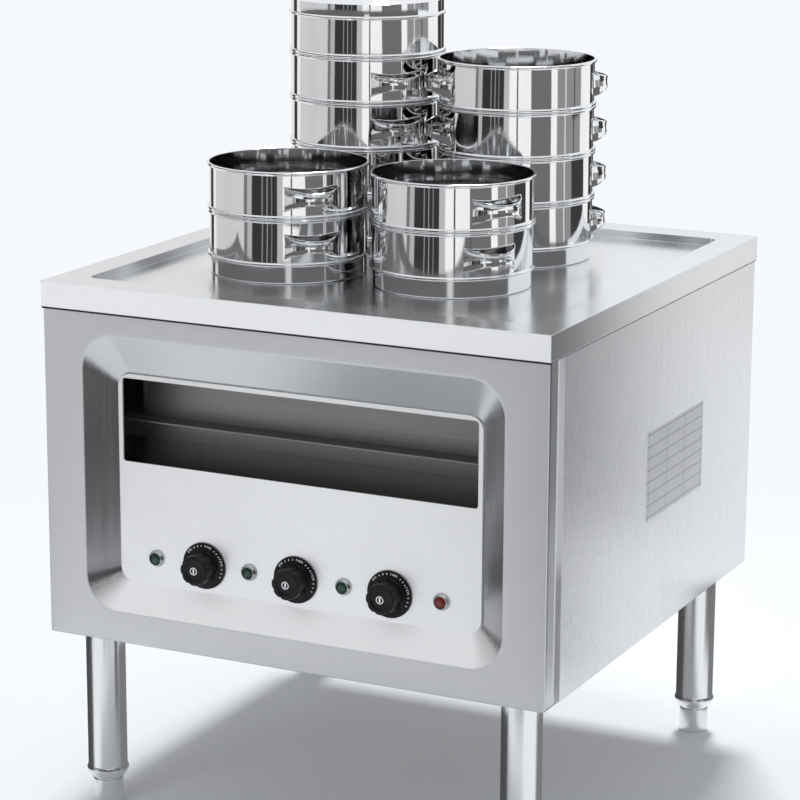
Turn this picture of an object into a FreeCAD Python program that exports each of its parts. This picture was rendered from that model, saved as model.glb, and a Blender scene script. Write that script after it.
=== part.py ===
import FreeCAD, Part

import math
import os

V = FreeCAD.Vector

# A floor-standing food steamer: a sheet steel cabinet on four legs, a sunk deck with four
# steam outlets, and a stack of nesting steam baskets over each outlet.
# Millimetres. The origin is on the floor under the middle of the deck, +Z is up and the
# controls face -Y.

# Cabinet
deck_width = 600.0
deck_depth = 610.0
deck_height = 605.0
deck_edge = 28.0
deck_sheet = 1.5
panel_sheet = 1.2
leg_clear = 208.0
seam_gap = 0.4
panel_lip = 15.0
front_return = 39.0
joggle_reach = 12.0
joggle_inset = 18.0

# Sunk part of the deck, and the steam outlets in it
rim_side = 35.0
rim_front = 38.0
rim_back = 38.0
sink_depth = 9.0
sink_corner = 12.0
outlet_radius = 74.0
outlet_lip_run = 5.0
outlet_lip_drop = 4.0

# Drawn recess of the front panel, with the slot and the control panel in it
recess_half_width = 251.0
recess_top_below_deck = 52.5
recess_bottom_above_edge = 35.0
recess_corner = 40.0
recess_depth = 20.0
window_half_width = 218.0
window_top_below_deck = 97.0
window_bottom_above_edge = 65.5
window_corner = 16.0
control_sheet = 1.5
control_gap = 0.4
slot_margin = 5.5
slot_bottom_below_deck = 195.5
slot_corner = 4.0

# Controls, in one row on the control panel
control_row_above_edge = 96.0
knob_pitch = 112.0
lamp_pitch = 57.0
lamp_outer_place = 172.0
knob_skirt_radius = 26.0
knob_skirt_edge = 1.6
knob_skirt_height = 3.2
knob_skirt_gap = 0.8
knob_grip_radius = 17.5
knob_grip_top_radius = 16.5
knob_height = 24.0
knob_flutes = 8
knob_flute_radius = 4.6
knob_flute_depth = 1.8
knob_cap_seat_radius = 4.7
knob_cap_seat_depth = 0.8
knob_wall_over_spindle = 5.0
spindle_radius = 3.0
spindle_fit = 0.05
spindle_in_body = 20.0
thermostat_side = 40.0
thermostat_depth = 30.0
thermostat_bush_radius = 5.0
hole_clearance = 0.1
lamp_bezel_radius = 9.4
lamp_bezel_stand = 5.0
lamp_bezel_taper = 1.0
lamp_body_radius = 8.0
lamp_body_depth = 22.0
lamp_seat_depth = 4.0
lamp_lens_radius = 6.4
lamp_lens_edge = 2.8
lamp_lens_crown = 1.6
lens_gap = 0.1

# Water tank under the deck, its rails and its heating elements
tank_width = 470.0
tank_length = 430.0
tank_floor_height = 385.0
tank_corner = 16.0
tank_flange = 14.0
rail_height = 445.0
rail_leg = 25.0
rail_thickness = 2.0
heater_count = 3
heater_pitch = 120.0
heater_above_floor = 28.0
heater_rod_radius = 4.0
heater_rod_spacing = 16.0
heater_reach = 400.0
heater_plug_radius = 13.0
heater_plug_inside = 8.0
heater_hex_across = 32.0
heater_hex_length = 10.0
heater_terminal_radius = 2.0
heater_terminal_length = 16.0

# Legs, sockets and adjustable feet
leg_inset = 45.0
leg_radius = 22.0
leg_wall = 1.5
leg_in_cabinet = 42.0
collar_radius = 23.6
collar_height = 13.0
collar_bowl_height = 4.5
collar_taper = 3.2
collar_edge = 1.0
collar_insert = 20.0
foot_radius = 17.0
foot_height = 32.0
foot_edge = 2.0
foot_stem_length = 45.0
foot_stem_radius = 11.0
foot_stem_fit = 0.08
socket_wall = 2.5
socket_gap = 0.1
leg_hole_gap = 0.3

# Rear panel and what passes through it
rear_inset = 10.0
rear_flange = 12.0
vent_count = 7
vent_pitch = 36.0
vent_width = 6.0
vent_height = 70.0
vent_floor = 470.0
gland_place_x = -190.0
gland_height = 262.0
gland_bore_radius = 6.0
gland_hex_across = 24.0
gland_hex_length = 6.0
gland_dome_radius = 10.0
gland_dome_wall = 1.5
gland_length = 16.0
gland_thread_radius = 9.0
gland_thread_length = 12.0

# Terminal block on the base
block_length = 72.0
block_depth = 24.0
block_height = 22.0
block_cells = 5
block_barrier_width = 2.0
block_groove_depth = 9.0
block_place_x = -190.0
block_from_rear = 78.5

# Drain
drain_x = 150.0
drain_y = 150.0
drain_pipe_radius = 10.6
drain_bore_radius = 8.0
drain_hole_gap = 0.4
drain_below_base = 6.0
valve_hex_across = 28.0
valve_hex_length = 13.0
valve_body_radius = 16.0
valve_body_length = 26.0
valve_outlet_radius = 9.3
valve_outlet_length = 11.0
valve_shoulder = 5.0
valve_boss_radius = 7.0
valve_boss_length = 8.0
lever_stem_radius = 3.5
lever_stem_fit = 0.06
lever_stem_in_boss = 7.0
lever_hub_radius = 9.0
lever_length = 78.0
lever_width = 14.0
lever_thickness = 3.0
lever_gap = 0.5

# One steam basket. It stands on the deck or nests in the rim of the basket below.
basket_wall_radius = 88.0
basket_sheet = 0.6
basket_pitch = 52.0
basket_skirt = 19.5
basket_nest_gap = 0.3
bead_proud = 2.4
bead_height = 3.4
rim_height = 3.0
floor_hole_across = 16.0
floor_hole_ring = 46.0
floor_hole_count = 6

# Side handle of a basket: a bow of strap, tall at the wall and narrow at its crown
handle_half_width = 31.5
handle_projection = 17.0
handle_strap = 1.2
handle_below_rim = 15.5
handle_root_height = 28.0
handle_top_fall = 6.0
handle_bottom_rise = 9.0

# Tall lid
lid_skirt = 12.0
lid_upper_bead = 43.0
lid_top_wall = 17.0
lid_dome = 20.0
lid_knob_radius = 15.0
lid_knob_height = 24.0
lid_knob_foot = 9.0
lid_knob_neck = 7.0
lid_knob_neck_height = 8.0
lid_knob_rim_low = 12.0
lid_knob_rim_high = 18.0
lid_knob_crown = 7.5

# Where the stacks stand on the deck: name, x, y, and how far each basket's handles are turned
# from the front, from the lowest basket up
stack_places = [
    ("front_left", -113.7, -86.0, (46.0, 46.0)),
    ("front_right", 82.0, -73.0, (53.5, 59.5)),
    ("back_left", -107.5, 96.0, (50.0, 50.0, 50.0, 50.0)),
    ("back_right", 74.5, 111.0, (-54.0, -54.0, -54.0, -54.0)),
]
lidded_stack = "back_left"

# Heights and faces that several pieces share
deck_under_rim = deck_height - deck_sheet
sink_top = deck_height - sink_depth
sink_under = sink_top - deck_sheet
body_half_width = deck_width / 2 - deck_sheet
body_front = -deck_depth / 2 + deck_sheet
body_back = deck_depth / 2 - deck_sheet
panel_inside = body_half_width - panel_sheet
control_face = body_front + recess_depth
control_back = control_face + control_sheet
control_row = leg_clear + control_row_above_edge
recess_bottom = leg_clear + recess_bottom_above_edge
window_bottom = leg_clear + window_bottom_above_edge
window_top = deck_height - window_top_below_deck
base_top = leg_clear + 2 * panel_sheet
rear_face = body_back - rear_inset
basket_height = basket_skirt + basket_pitch
bead_radius = basket_wall_radius + bead_proud
skirt_radius = basket_wall_radius - basket_sheet - basket_nest_gap
drain_centre = leg_clear - drain_below_base - valve_hex_length - valve_body_length / 2


def block(low, high):
    """A box between two opposite corners."""
    size = [high[i] - low[i] for i in range(3)]
    return Part.makeBox(size[0], size[1], size[2], V(*low))


def rod(radius, start, end):
    """A round bar from one point to another."""
    axis = V(*end) - V(*start)
    return Part.makeCylinder(radius, axis.Length, V(*start), axis)


def hex_bar(across, start, end):
    """A hexagonal bar, across its flats, from one point to another along X, Y or Z."""
    axis = V(*end) - V(*start)
    side = V(0, 0, 1) if abs(axis.z) < abs(axis.x) + abs(axis.y) else V(1, 0, 0)
    third = axis.cross(side).normalize()
    reach = across / math.sqrt(3)
    points = []
    for k in range(7):
        turn = math.radians(60 * k)
        points.append(V(*start) + side * (reach * math.cos(turn)) + third * (reach * math.sin(turn)))
    return Part.Face(Part.makePolygon(points)).extrude(axis)


def turned(profile, at=(0, 0, 0), axis=(0, 0, 1)):
    """A turned solid. The profile is (radius, height) points up the axis from the place at. A
    point with four more numbers is the start of an arc, and they give its middle and its end."""
    edges = []
    for k, point in enumerate(profile):
        start = V(point[0], 0, point[1])
        following = profile[(k + 1) % len(profile)]
        if len(point) > 2:
            end = V(point[4], 0, point[5])
            edges.append(Part.Arc(start, V(point[2], 0, point[3]), end).toShape())
            start = end
        edges.append(Part.LineSegment(start, V(following[0], 0, following[1])).toShape())
    solid = Part.Face(Part.Wire(edges)).revolve(V(0, 0, 0), V(0, 0, 1), 360)
    solid.Placement = FreeCAD.Placement(V(*at), FreeCAD.Rotation(V(0, 0, 1), V(*axis)))
    return solid


def rounded_outline(half_width, low, high, radius, place, upright):
    """A rounded rectangle, centred on x = 0. Upright it lies in a plane of constant y, with
    low and high as heights, and otherwise in a plane of constant z, with low and high in y."""
    def point(u, v):
        return V(u, place, v) if upright else V(u, v, place)

    middles = [(half_width - radius, low + radius), (half_width - radius, high - radius),
               (radius - half_width, high - radius), (radius - half_width, low + radius)]
    quarter = math.pi / 2
    edges = []
    last = None
    first = None
    for k, (cu, cv) in enumerate(middles):
        start = (k - 1) * quarter
        turns = [start, start + quarter / 2, start + quarter]
        arc = [point(cu + radius * math.cos(a), cv + radius * math.sin(a)) for a in turns]
        if last is not None:
            edges.append(Part.LineSegment(last, arc[0]).toShape())
        else:
            first = arc[0]
        edges.append(Part.Arc(arc[0], arc[1], arc[2]).toShape())
        last = arc[2]
    edges.append(Part.LineSegment(last, first).toShape())
    return Part.Wire(edges)


def slab(half_width, low, high, radius, bottom, top):
    """A flat rounded rectangle between two heights."""
    outline = rounded_outline(half_width, low, high, radius, bottom, False)
    return Part.Face(outline).extrude(V(0, 0, top - bottom))


def plate(half_width, low, high, radius, front, back):
    """An upright rounded rectangle between two depths."""
    outline = rounded_outline(half_width, low, high, radius, front, True)
    return Part.Face(outline).extrude(V(0, back - front, 0))


def save(node, shape):
    """Write one node, after a check that it is made of sound solids."""
    if not shape.isValid() or not shape.Solids:
        raise ValueError(node + " is not a valid solid")
    shape.exportStep("parts/" + node + ".step")


def deck_top():
    """The deck: a rim with a turned-down edge, a sunk tray and four outlets with sunk lips."""
    half_w = deck_width / 2
    half_d = deck_depth / 2
    low = deck_height - deck_edge
    shell = block((-half_w, -half_d, low), (half_w, half_d, deck_height))
    hollow = block((-body_half_width, body_front, low), (body_half_width, body_back, deck_under_rim))
    shell = shell.cut(hollow)
    sink_half = half_w - rim_side
    sink_low = -half_d + rim_front
    sink_high = half_d - rim_back
    wall = deck_sheet
    tray = slab(sink_half + wall, sink_low - wall, sink_high + wall, sink_corner + wall,
                sink_under, deck_height)
    sunk = slab(sink_half, sink_low, sink_high, sink_corner, sink_top, deck_height + 1)
    deck = shell.fuse(tray).cut(sunk)
    mouth = outlet_radius + outlet_lip_run
    for _, x, y, _ in stack_places:
        deck = deck.cut(rod(mouth, (x, y, sink_under - 1), (x, y, sink_top + 1)))
        lip = turned([(mouth, 0), (outlet_radius, -outlet_lip_drop),
                      (outlet_radius, -outlet_lip_drop - deck_sheet), (mouth, -deck_sheet)],
                     at=(x, y, sink_top))
        deck = deck.fuse(lip)
    return deck.removeSplitter()


def drawn_recess(extra, depth):
    """The recess as a solid plug: a rounded mouth that tapers to the rounded window."""
    mouth = rounded_outline(recess_half_width + extra, recess_bottom - extra,
                            deck_height - recess_top_below_deck + extra, recess_corner + extra,
                            body_front, True)
    window = rounded_outline(window_half_width + extra, window_bottom - extra, window_top + extra,
                             window_corner + extra, body_front + depth, True)
    return Part.makeLoft([mouth, window], True, True)


def front_panel():
    """The front: one sheet that wraps round both sides, with the drawn recess and its window."""
    back = body_front + front_return
    face = block((-body_half_width, body_front, leg_clear),
                 (body_half_width, body_front + panel_sheet, deck_under_rim))
    lip = block((-body_half_width, body_front, leg_clear),
                (body_half_width, body_front + panel_lip, leg_clear + panel_sheet))
    panel = face.fuse(lip)
    for side in (-1, 1):
        outer = side * body_half_width
        inner = side * panel_inside
        panel = panel.fuse(block((min(outer, inner), body_front, leg_clear),
                                 (max(outer, inner), back, deck_under_rim)))
    depth = recess_depth + control_sheet
    panel = panel.fuse(drawn_recess(panel_sheet, depth)).cut(drawn_recess(0, depth))
    flange = plate(window_half_width + panel_sheet, window_bottom - panel_sheet,
                   window_top + panel_sheet, window_corner + panel_sheet,
                   control_back, control_back + panel_sheet)
    hole = plate(window_half_width - slot_margin, window_bottom + slot_margin,
                 window_top - slot_margin, slot_corner,
                 control_back - 1, control_back + panel_sheet + 1)
    return panel.fuse(flange.cut(hole)).removeSplitter()


def control_panel():
    """The plate in the window: the open slot above, holes for spindles and lamps below."""
    panel = plate(window_half_width - control_gap, window_bottom + control_gap,
                  window_top - control_gap, window_corner - control_gap,
                  control_face, control_back)
    slot = plate(window_half_width - slot_margin, deck_height - slot_bottom_below_deck,
                 window_top - slot_margin, slot_corner, control_face - 1, control_back + 1)
    panel = panel.cut(slot)
    for x in knob_places().values():
        panel = panel.cut(rod(thermostat_bush_radius + hole_clearance,
                              (x, control_face - 1, control_row), (x, control_back + 1, control_row)))
    for x in lamp_places():
        panel = panel.cut(rod(lamp_body_radius + hole_clearance,
                              (x, control_face - 1, control_row), (x, control_back + 1, control_row)))
    return panel


def knob_places():
    """The knobs' places across the panel."""
    return {"left": -knob_pitch, "middle": 0.0, "right": knob_pitch}


def lamp_places():
    """The lamps' places: the first three are green and the last is red."""
    return [-lamp_outer_place, -lamp_pitch, lamp_pitch, lamp_outer_place]


def knob(x):
    """A control knob: a dial skirt, and a tapered grip with flutes round it."""
    base = control_face - knob_skirt_gap
    front = (0, -1, 0)
    skirt = turned([(0, 0), (knob_skirt_radius, 0), (knob_skirt_radius, knob_skirt_edge),
                    (knob_grip_radius, knob_skirt_height), (0, knob_skirt_height)],
                   at=(x, base, control_row), axis=front)
    grip = turned([(0, knob_skirt_height), (knob_grip_radius, knob_skirt_height),
                   (knob_grip_top_radius, knob_height), (0, knob_height)],
                  at=(x, base, control_row), axis=front)
    ring = knob_grip_radius + knob_flute_radius - knob_flute_depth
    for k in range(knob_flutes):
        turn = 2 * math.pi * k / knob_flutes
        cx = x + ring * math.cos(turn)
        cz = control_row + ring * math.sin(turn)
        grip = grip.cut(rod(knob_flute_radius, (cx, base - knob_skirt_height, cz),
                            (cx, base - knob_height - 1, cz)))
    body = skirt.fuse(grip)
    top = base - knob_height
    body = body.cut(rod(knob_cap_seat_radius, (x, top + knob_cap_seat_depth, control_row),
                        (x, top - 1, control_row)))
    return body.cut(rod(spindle_radius, (x, base + 1, control_row),
                        (x, top + knob_wall_over_spindle, control_row)))


def spindle(x):
    """The thermostat's spindle, from inside its body to the end of the knob's bore."""
    tip = control_face - knob_skirt_gap - knob_height + knob_wall_over_spindle
    return rod(spindle_radius, (x, control_back + spindle_in_body, control_row), (x, tip, control_row))


def thermostat(x):
    """The switch body behind the panel, with its bush in the panel and a bore for the spindle."""
    half = thermostat_side / 2
    body = block((x - half, control_back, control_row - half),
                 (x + half, control_back + thermostat_depth, control_row + half))
    body = body.fuse(rod(thermostat_bush_radius, (x, control_back, control_row),
                         (x, control_face, control_row)))
    return body.cut(rod(spindle_radius + spindle_fit, (x, control_face - 1, control_row),
                        (x, control_back + spindle_in_body + 1, control_row)))


def lamp_bezel(x):
    """A lamp's ring and the body behind the panel, with a seat for the lens."""
    seat = lamp_bezel_stand - lamp_seat_depth
    seat_radius = lamp_lens_radius + lens_gap
    return turned([(0, -lamp_body_depth), (lamp_body_radius, -lamp_body_depth), (lamp_body_radius, 0),
                   (lamp_bezel_radius, 0), (lamp_bezel_radius - lamp_bezel_taper, lamp_bezel_stand),
                   (seat_radius, lamp_bezel_stand), (seat_radius, seat), (0, seat)],
                  at=(x, control_face, control_row), axis=(0, -1, 0))


def lamp_lens(x):
    """A lamp's lens, with a low crown."""
    seat = lamp_bezel_stand - lamp_seat_depth
    edge = seat + lamp_lens_edge
    return turned([(0, seat), (lamp_lens_radius, seat), (lamp_lens_radius, edge),
                   (lamp_lens_radius / 2, edge + lamp_lens_crown), (0, edge + lamp_lens_crown)],
                  at=(x, control_face, control_row), axis=(0, -1, 0))


def side_panel(side):
    """A side: a sheet with lips below and behind, and a joggled edge tucked behind the front."""
    front = body_front + front_return + seam_gap
    outer = side * body_half_width
    inner = side * panel_inside
    tucked = side * (panel_inside - panel_sheet)
    lip_end = side * (body_half_width - panel_lip)
    panel = block((min(outer, inner), front, leg_clear), (max(outer, inner), body_back, deck_under_rim))
    low_lip = block((min(outer, lip_end), front, leg_clear),
                    (max(outer, lip_end), body_back, leg_clear + panel_sheet))
    back_lip = block((min(outer, lip_end), body_back - panel_sheet, leg_clear),
                     (max(outer, lip_end), body_back, deck_under_rim))
    joggle = block((min(inner, tucked), front - joggle_reach, leg_clear + joggle_inset),
                   (max(inner, tucked), front + joggle_reach, deck_under_rim - joggle_inset))
    return panel.fuse([low_lip, back_lip, joggle]).removeSplitter()


def rear_panel():
    """The rear: a sheet between the sides, set in from their back edges, with a row of vents."""
    panel = block((-panel_inside, rear_face - panel_sheet, base_top),
                  (panel_inside, rear_face, deck_under_rim))
    for side in (-1, 1):
        outer = side * panel_inside
        inner = side * (panel_inside - panel_sheet)
        panel = panel.fuse(block((min(outer, inner), rear_face - rear_flange, base_top),
                                 (max(outer, inner), rear_face, deck_under_rim)))
    for k in range(vent_count):
        x = (k - (vent_count - 1) / 2) * vent_pitch
        panel = panel.cut(block((x - vent_width / 2, rear_face - panel_sheet - 1, vent_floor),
                                (x + vent_width / 2, rear_face + 1, vent_floor + vent_height)))
    panel = panel.cut(rod(gland_thread_radius + hole_clearance,
                          (gland_place_x, rear_face - panel_sheet - 1, gland_height),
                          (gland_place_x, rear_face + 1, gland_height)))
    return panel.removeSplitter()


def base_panel():
    """The floor of the cabinet, on the lips of the front and sides, with holes for the legs."""
    low = base_top - panel_sheet
    panel = block((-panel_inside, body_front + panel_sheet, low),
                  (panel_inside, body_back - panel_sheet, base_top))
    for x, y in leg_places().values():
        panel = panel.cut(rod(leg_radius + leg_hole_gap, (x, y, low - 1), (x, y, base_top + 1)))
    return panel.cut(rod(drain_pipe_radius + drain_hole_gap, (drain_x, drain_y, low - 1),
                         (drain_x, drain_y, base_top + 1)))


def water_tank():
    """The open tank: folded walls with round corners and a flange that meets the deck."""
    half_w = tank_width / 2
    half_l = tank_length / 2
    wall = panel_sheet
    tank = slab(half_w, -half_l, half_l, tank_corner, tank_floor_height, sink_under)
    rim = slab(half_w + tank_flange, -half_l - tank_flange, half_l + tank_flange,
               tank_corner + tank_flange, sink_under - wall, sink_under)
    inside = slab(half_w - wall, wall - half_l, half_l - wall, tank_corner - wall,
                  tank_floor_height + wall, sink_under + 1)
    tank = tank.fuse(rim).cut(inside)
    height = tank_floor_height + heater_above_floor
    for y in heater_places():
        tank = tank.cut(rod(heater_plug_radius + hole_clearance,
                            (half_w - wall - 1, y, height), (half_w + 1, y, height)))
    return tank.cut(rod(drain_bore_radius, (drain_x, drain_y, tank_floor_height - 1),
                        (drain_x, drain_y, tank_floor_height + wall + 1))).removeSplitter()


def heater_places():
    """The heating elements' places from front to back."""
    return [(k - (heater_count - 1) / 2) * heater_pitch for k in range(heater_count)]


def heating_element(y):
    """One screw-in element: hexagon, plug, hairpin with a square end, and two terminals."""
    height = tank_floor_height + heater_above_floor
    wall = tank_width / 2
    plug_end = wall - panel_sheet - heater_plug_inside
    bend = plug_end - heater_reach
    half = heater_rod_spacing / 2
    hex_end = wall + heater_hex_length
    parts = [rod(heater_plug_radius, (wall, y, height), (plug_end, y, height))]
    for side in (-1, 1):
        row = y + side * half
        parts.append(rod(heater_rod_radius, (plug_end, row, height), (bend, row, height)))
        parts.append(rod(heater_terminal_radius, (hex_end, row, height),
                         (hex_end + heater_terminal_length, row, height)))
    end = half + heater_rod_radius
    parts.append(rod(heater_rod_radius, (bend, y - end, height), (bend, y + end, height)))
    return hex_bar(heater_hex_across, (wall, y, height), (hex_end, y, height)).fuse(parts)


def tank_rail(side):
    """An angle rail from side to side, welded across the front or back wall of the tank."""
    wall = side * tank_length / 2
    edge = wall + side * rail_leg
    skin = wall + side * rail_thickness
    low = rail_height - rail_leg
    shelf = block((-panel_inside, min(wall, edge), rail_height - rail_thickness),
                  (panel_inside, max(wall, edge), rail_height))
    web = block((-panel_inside, min(wall, skin), low), (panel_inside, max(wall, skin), rail_height))
    return shelf.fuse(web).removeSplitter()


def leg_places():
    """The legs' places in plan."""
    x = deck_width / 2 - leg_inset
    y = deck_depth / 2 - leg_inset
    return {"front_left": (-x, -y), "front_right": (x, -y), "rear_left": (-x, y), "rear_right": (x, y)}


def leg(x, y):
    """A tube leg with a bowl-shaped end collar that guides the foot's stem."""
    bore = foot_stem_radius + foot_stem_fit
    low = foot_height
    top = foot_height + collar_height
    return turned([(bore, low), (foot_radius + collar_edge, low),
                   (leg_radius, low + collar_bowl_height), (collar_radius, top - collar_taper),
                   (leg_radius, top), (leg_radius, leg_clear + leg_in_cabinet),
                   (leg_radius - leg_wall, leg_clear + leg_in_cabinet),
                   (leg_radius - leg_wall, top + collar_insert), (bore, top + collar_insert)],
                  at=(x, y, 0))


def leg_socket(x, y):
    """The capped sleeve on the base that takes the top of a leg."""
    inner = leg_radius + socket_gap
    outer = inner + socket_wall
    seat = leg_clear + leg_in_cabinet
    return turned([(inner, base_top), (outer, base_top), (outer, seat + socket_wall),
                   (0, seat + socket_wall), (0, seat), (inner, seat)], at=(x, y, 0))


def foot(x, y):
    """An adjustable foot: a round shoe with an eased edge, on a stem inside the leg."""
    return turned([(0, 0), (foot_radius - foot_edge, 0), (foot_radius, foot_edge),
                   (foot_radius, foot_height), (foot_stem_radius, foot_height),
                   (foot_stem_radius, foot_height + foot_stem_length), (0, foot_height + foot_stem_length)],
                  at=(x, y, 0))


def cable_gland():
    """The cable gland in the rear panel: thread, hexagon and dome nut with a clear bore."""
    x = gland_place_x
    z = gland_height
    hex_end = rear_face + gland_hex_length
    end = rear_face + gland_length
    thread_end = rear_face - gland_thread_length
    gland = hex_bar(gland_hex_across, (x, rear_face, z), (x, hex_end, z))
    gland = gland.fuse(rod(gland_thread_radius, (x, thread_end, z), (x, rear_face, z)))
    dome = gland_length - gland_hex_length
    gland = gland.fuse(turned([(0, 0), (gland_dome_radius, 0), (gland_dome_radius, dome / 2),
                               (gland_bore_radius + gland_dome_wall, dome), (0, dome)],
                              at=(x, hex_end, z), axis=(0, 1, 0)))
    return gland.cut(rod(gland_bore_radius, (x, thread_end - 1, z), (x, end + 1, z)))


def terminal_block():
    """The mains terminal block on the base, a row of cells between barriers."""
    low_x = block_place_x - block_length / 2
    low_y = rear_face - block_from_rear - block_depth / 2
    body = block((low_x, low_y, base_top), (low_x + block_length, low_y + block_depth,
                                            base_top + block_height))
    cell = (block_length - block_barrier_width) / block_cells
    for k in range(block_cells):
        x = low_x + block_barrier_width + k * cell
        body = body.cut(block((x, low_y - 1, base_top + block_height - block_groove_depth),
                              (x + cell - block_barrier_width, low_y + block_depth + 1,
                               base_top + block_height + 1)))
    return body


def drain_pipe():
    """The pipe from the tank's floor down through the base to the valve."""
    end = drain_centre + valve_body_length / 2 + valve_hex_length
    pipe = rod(drain_pipe_radius, (drain_x, drain_y, tank_floor_height), (drain_x, drain_y, end))
    return pipe.cut(rod(drain_bore_radius, (drain_x, drain_y, tank_floor_height + 1),
                        (drain_x, drain_y, end - 1)))


def drain_valve():
    """A ball valve: a turned body between two hexagon ends, with a boss for the stem."""
    half = valve_body_length / 2
    top = drain_centre + half + valve_hex_length
    bottom = drain_centre - half - valve_hex_length
    centre = (drain_x, drain_y, drain_centre)
    upper = hex_bar(valve_hex_across, (drain_x, drain_y, drain_centre + half), (drain_x, drain_y, top))
    lower = hex_bar(valve_hex_across, (drain_x, drain_y, drain_centre - half), (drain_x, drain_y, bottom))
    body = turned([(0, -half), (drain_pipe_radius, -half), (valve_body_radius, valve_shoulder - half),
                   (valve_body_radius, half - valve_shoulder), (drain_pipe_radius, half), (0, half)],
                  at=centre)
    boss_end = drain_y - valve_body_radius - valve_boss_length
    boss = rod(valve_boss_radius, centre, (drain_x, boss_end, drain_centre))
    valve = upper.fuse([lower, body, boss])
    valve = valve.cut(rod(valve_outlet_radius, (drain_x, drain_y, bottom - 1),
                          (drain_x, drain_y, bottom + valve_outlet_length)))
    return valve.cut(rod(lever_stem_radius + lever_stem_fit, (drain_x, boss_end - 1, drain_centre),
                         (drain_x, boss_end + lever_stem_in_boss + 1, drain_centre)))


def drain_lever():
    """The valve's lever and stem, shut: the strap lies across the pipe."""
    boss_end = drain_y - valve_body_radius - valve_boss_length
    hub_back = boss_end - lever_gap
    hub_front = hub_back - lever_thickness
    stem = rod(lever_stem_radius, (drain_x, hub_front, drain_centre),
               (drain_x, boss_end + lever_stem_in_boss, drain_centre))
    hub = rod(lever_hub_radius, (drain_x, hub_back, drain_centre), (drain_x, hub_front, drain_centre))
    half = lever_width / 2
    strap = block((drain_x - lever_length, hub_front, drain_centre - half),
                  (drain_x, hub_back, drain_centre + half))
    round_end = rod(half, (drain_x - lever_length, hub_back, drain_centre),
                    (drain_x - lever_length, hub_front, drain_centre))
    return stem.fuse([hub, strap, round_end]).removeSplitter()


def basket_body():
    """One basket at the origin: a skirt that nests, a bead that rests on the rim below, a
    flared rim, and a floor with a middle steam hole and a ring of more."""
    inner = basket_wall_radius - basket_sheet
    skirt_inner = skirt_radius - basket_sheet
    over_bead = basket_skirt + bead_height
    basket = turned([(0, 0), (skirt_radius, 0), (skirt_radius, basket_skirt),
                     (bead_radius, basket_skirt), (basket_wall_radius, over_bead),
                     (basket_wall_radius, basket_height - rim_height), (bead_radius, basket_height),
                     (inner, basket_height), (inner, over_bead), (skirt_inner, basket_skirt),
                     (skirt_inner, basket_sheet), (0, basket_sheet)])
    turns = [2 * math.pi * k / floor_hole_count for k in range(floor_hole_count)]
    places = [(floor_hole_ring * math.cos(turn), floor_hole_ring * math.sin(turn)) for turn in turns]
    holes = [hex_bar(floor_hole_across, (x, y, -1), (x, y, basket_sheet + 1))
             for x, y in places + [(0, 0)]]
    return basket.cut(holes)


def handle_bow():
    """One handle at azimuth +X: a strap bent in a round bow from the wall and back, cut to a
    wedge that is tall at the wall and narrow at the crown."""
    crown = basket_wall_radius + handle_projection
    root = math.sqrt(basket_wall_radius ** 2 - handle_half_width ** 2)
    rise = crown - root
    bend = (handle_half_width ** 2 + rise ** 2) / (2 * rise)
    centre = crown - bend
    high = basket_height - handle_below_rim
    low = high - handle_root_height
    ring = rod(bend, (centre, 0, low), (centre, 0, high))
    ring = ring.cut(rod(bend - handle_strap, (centre, 0, low - 1), (centre, 0, high + 1)))
    ring = ring.cut(rod(basket_wall_radius, (0, 0, low - 1), (0, 0, high + 1)))
    outline = [V(root, -bend, low), V(root, -bend, high), V(crown, -bend, high - handle_top_fall),
               V(crown, -bend, low + handle_bottom_rise), V(root, -bend, low)]
    wedge = Part.Face(Part.makePolygon(outline)).extrude(V(0, 2 * bend, 0))
    return ring.common(wedge)


def placed(shape, x, y, z, turn):
    """A copy of a shape, turned about the upright axis and moved."""
    copy = shape.copy()
    place = FreeCAD.Placement(V(x, y, z), FreeCAD.Rotation(V(0, 0, 1), turn))
    copy.Placement = place.multiply(shape.Placement)
    return copy


def lid_body():
    """The tall lid: skirt, resting bead, plain wall with a second bead, and a domed top."""
    inner = basket_wall_radius - basket_sheet
    skirt_inner = skirt_radius - basket_sheet
    over_bead = lid_skirt + bead_height
    upper = lid_skirt + lid_upper_bead
    wall_top = upper + lid_top_wall
    dome_top = wall_top + lid_dome
    dome_ball = (basket_wall_radius ** 2 + lid_dome ** 2) / (2 * lid_dome)
    half = basket_wall_radius / 2
    shoulder = math.sqrt(dome_ball ** 2 - half ** 2) - dome_ball + dome_top
    return turned([(skirt_inner, 0), (skirt_radius, 0), (skirt_radius, lid_skirt),
                   (bead_radius, lid_skirt), (basket_wall_radius, over_bead),
                   (basket_wall_radius, upper), (bead_radius, upper + bead_height / 2),
                   (basket_wall_radius, upper + bead_height),
                   (basket_wall_radius, wall_top, half, shoulder, 0, dome_top),
                   (0, dome_top - basket_sheet, half, shoulder - basket_sheet, inner, wall_top),
                   (inner, over_bead), (skirt_inner, lid_skirt)])


def lid_knob():
    """The turned knob on the lid's crown."""
    crown = lid_skirt + lid_upper_bead + lid_top_wall + lid_dome
    return turned([(0, 0), (lid_knob_foot, 0), (lid_knob_neck, lid_knob_neck_height),
                   (lid_knob_radius, lid_knob_rim_low), (lid_knob_radius, lid_knob_rim_high),
                   (lid_knob_crown, lid_knob_height), (0, lid_knob_height)], at=(0, 0, crown))


os.makedirs("parts", exist_ok=True)

save("deck_top", deck_top())
save("front_panel", front_panel())
save("control_panel", control_panel())
save("left_side_panel", side_panel(-1))
save("right_side_panel", side_panel(1))
save("rear_panel", rear_panel())
save("base_panel", base_panel())

save("water_tank", water_tank())
save("tank_rails", Part.makeCompound([tank_rail(-1), tank_rail(1)]))
save("heating_elements", Part.makeCompound([heating_element(y) for y in heater_places()]))

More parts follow.
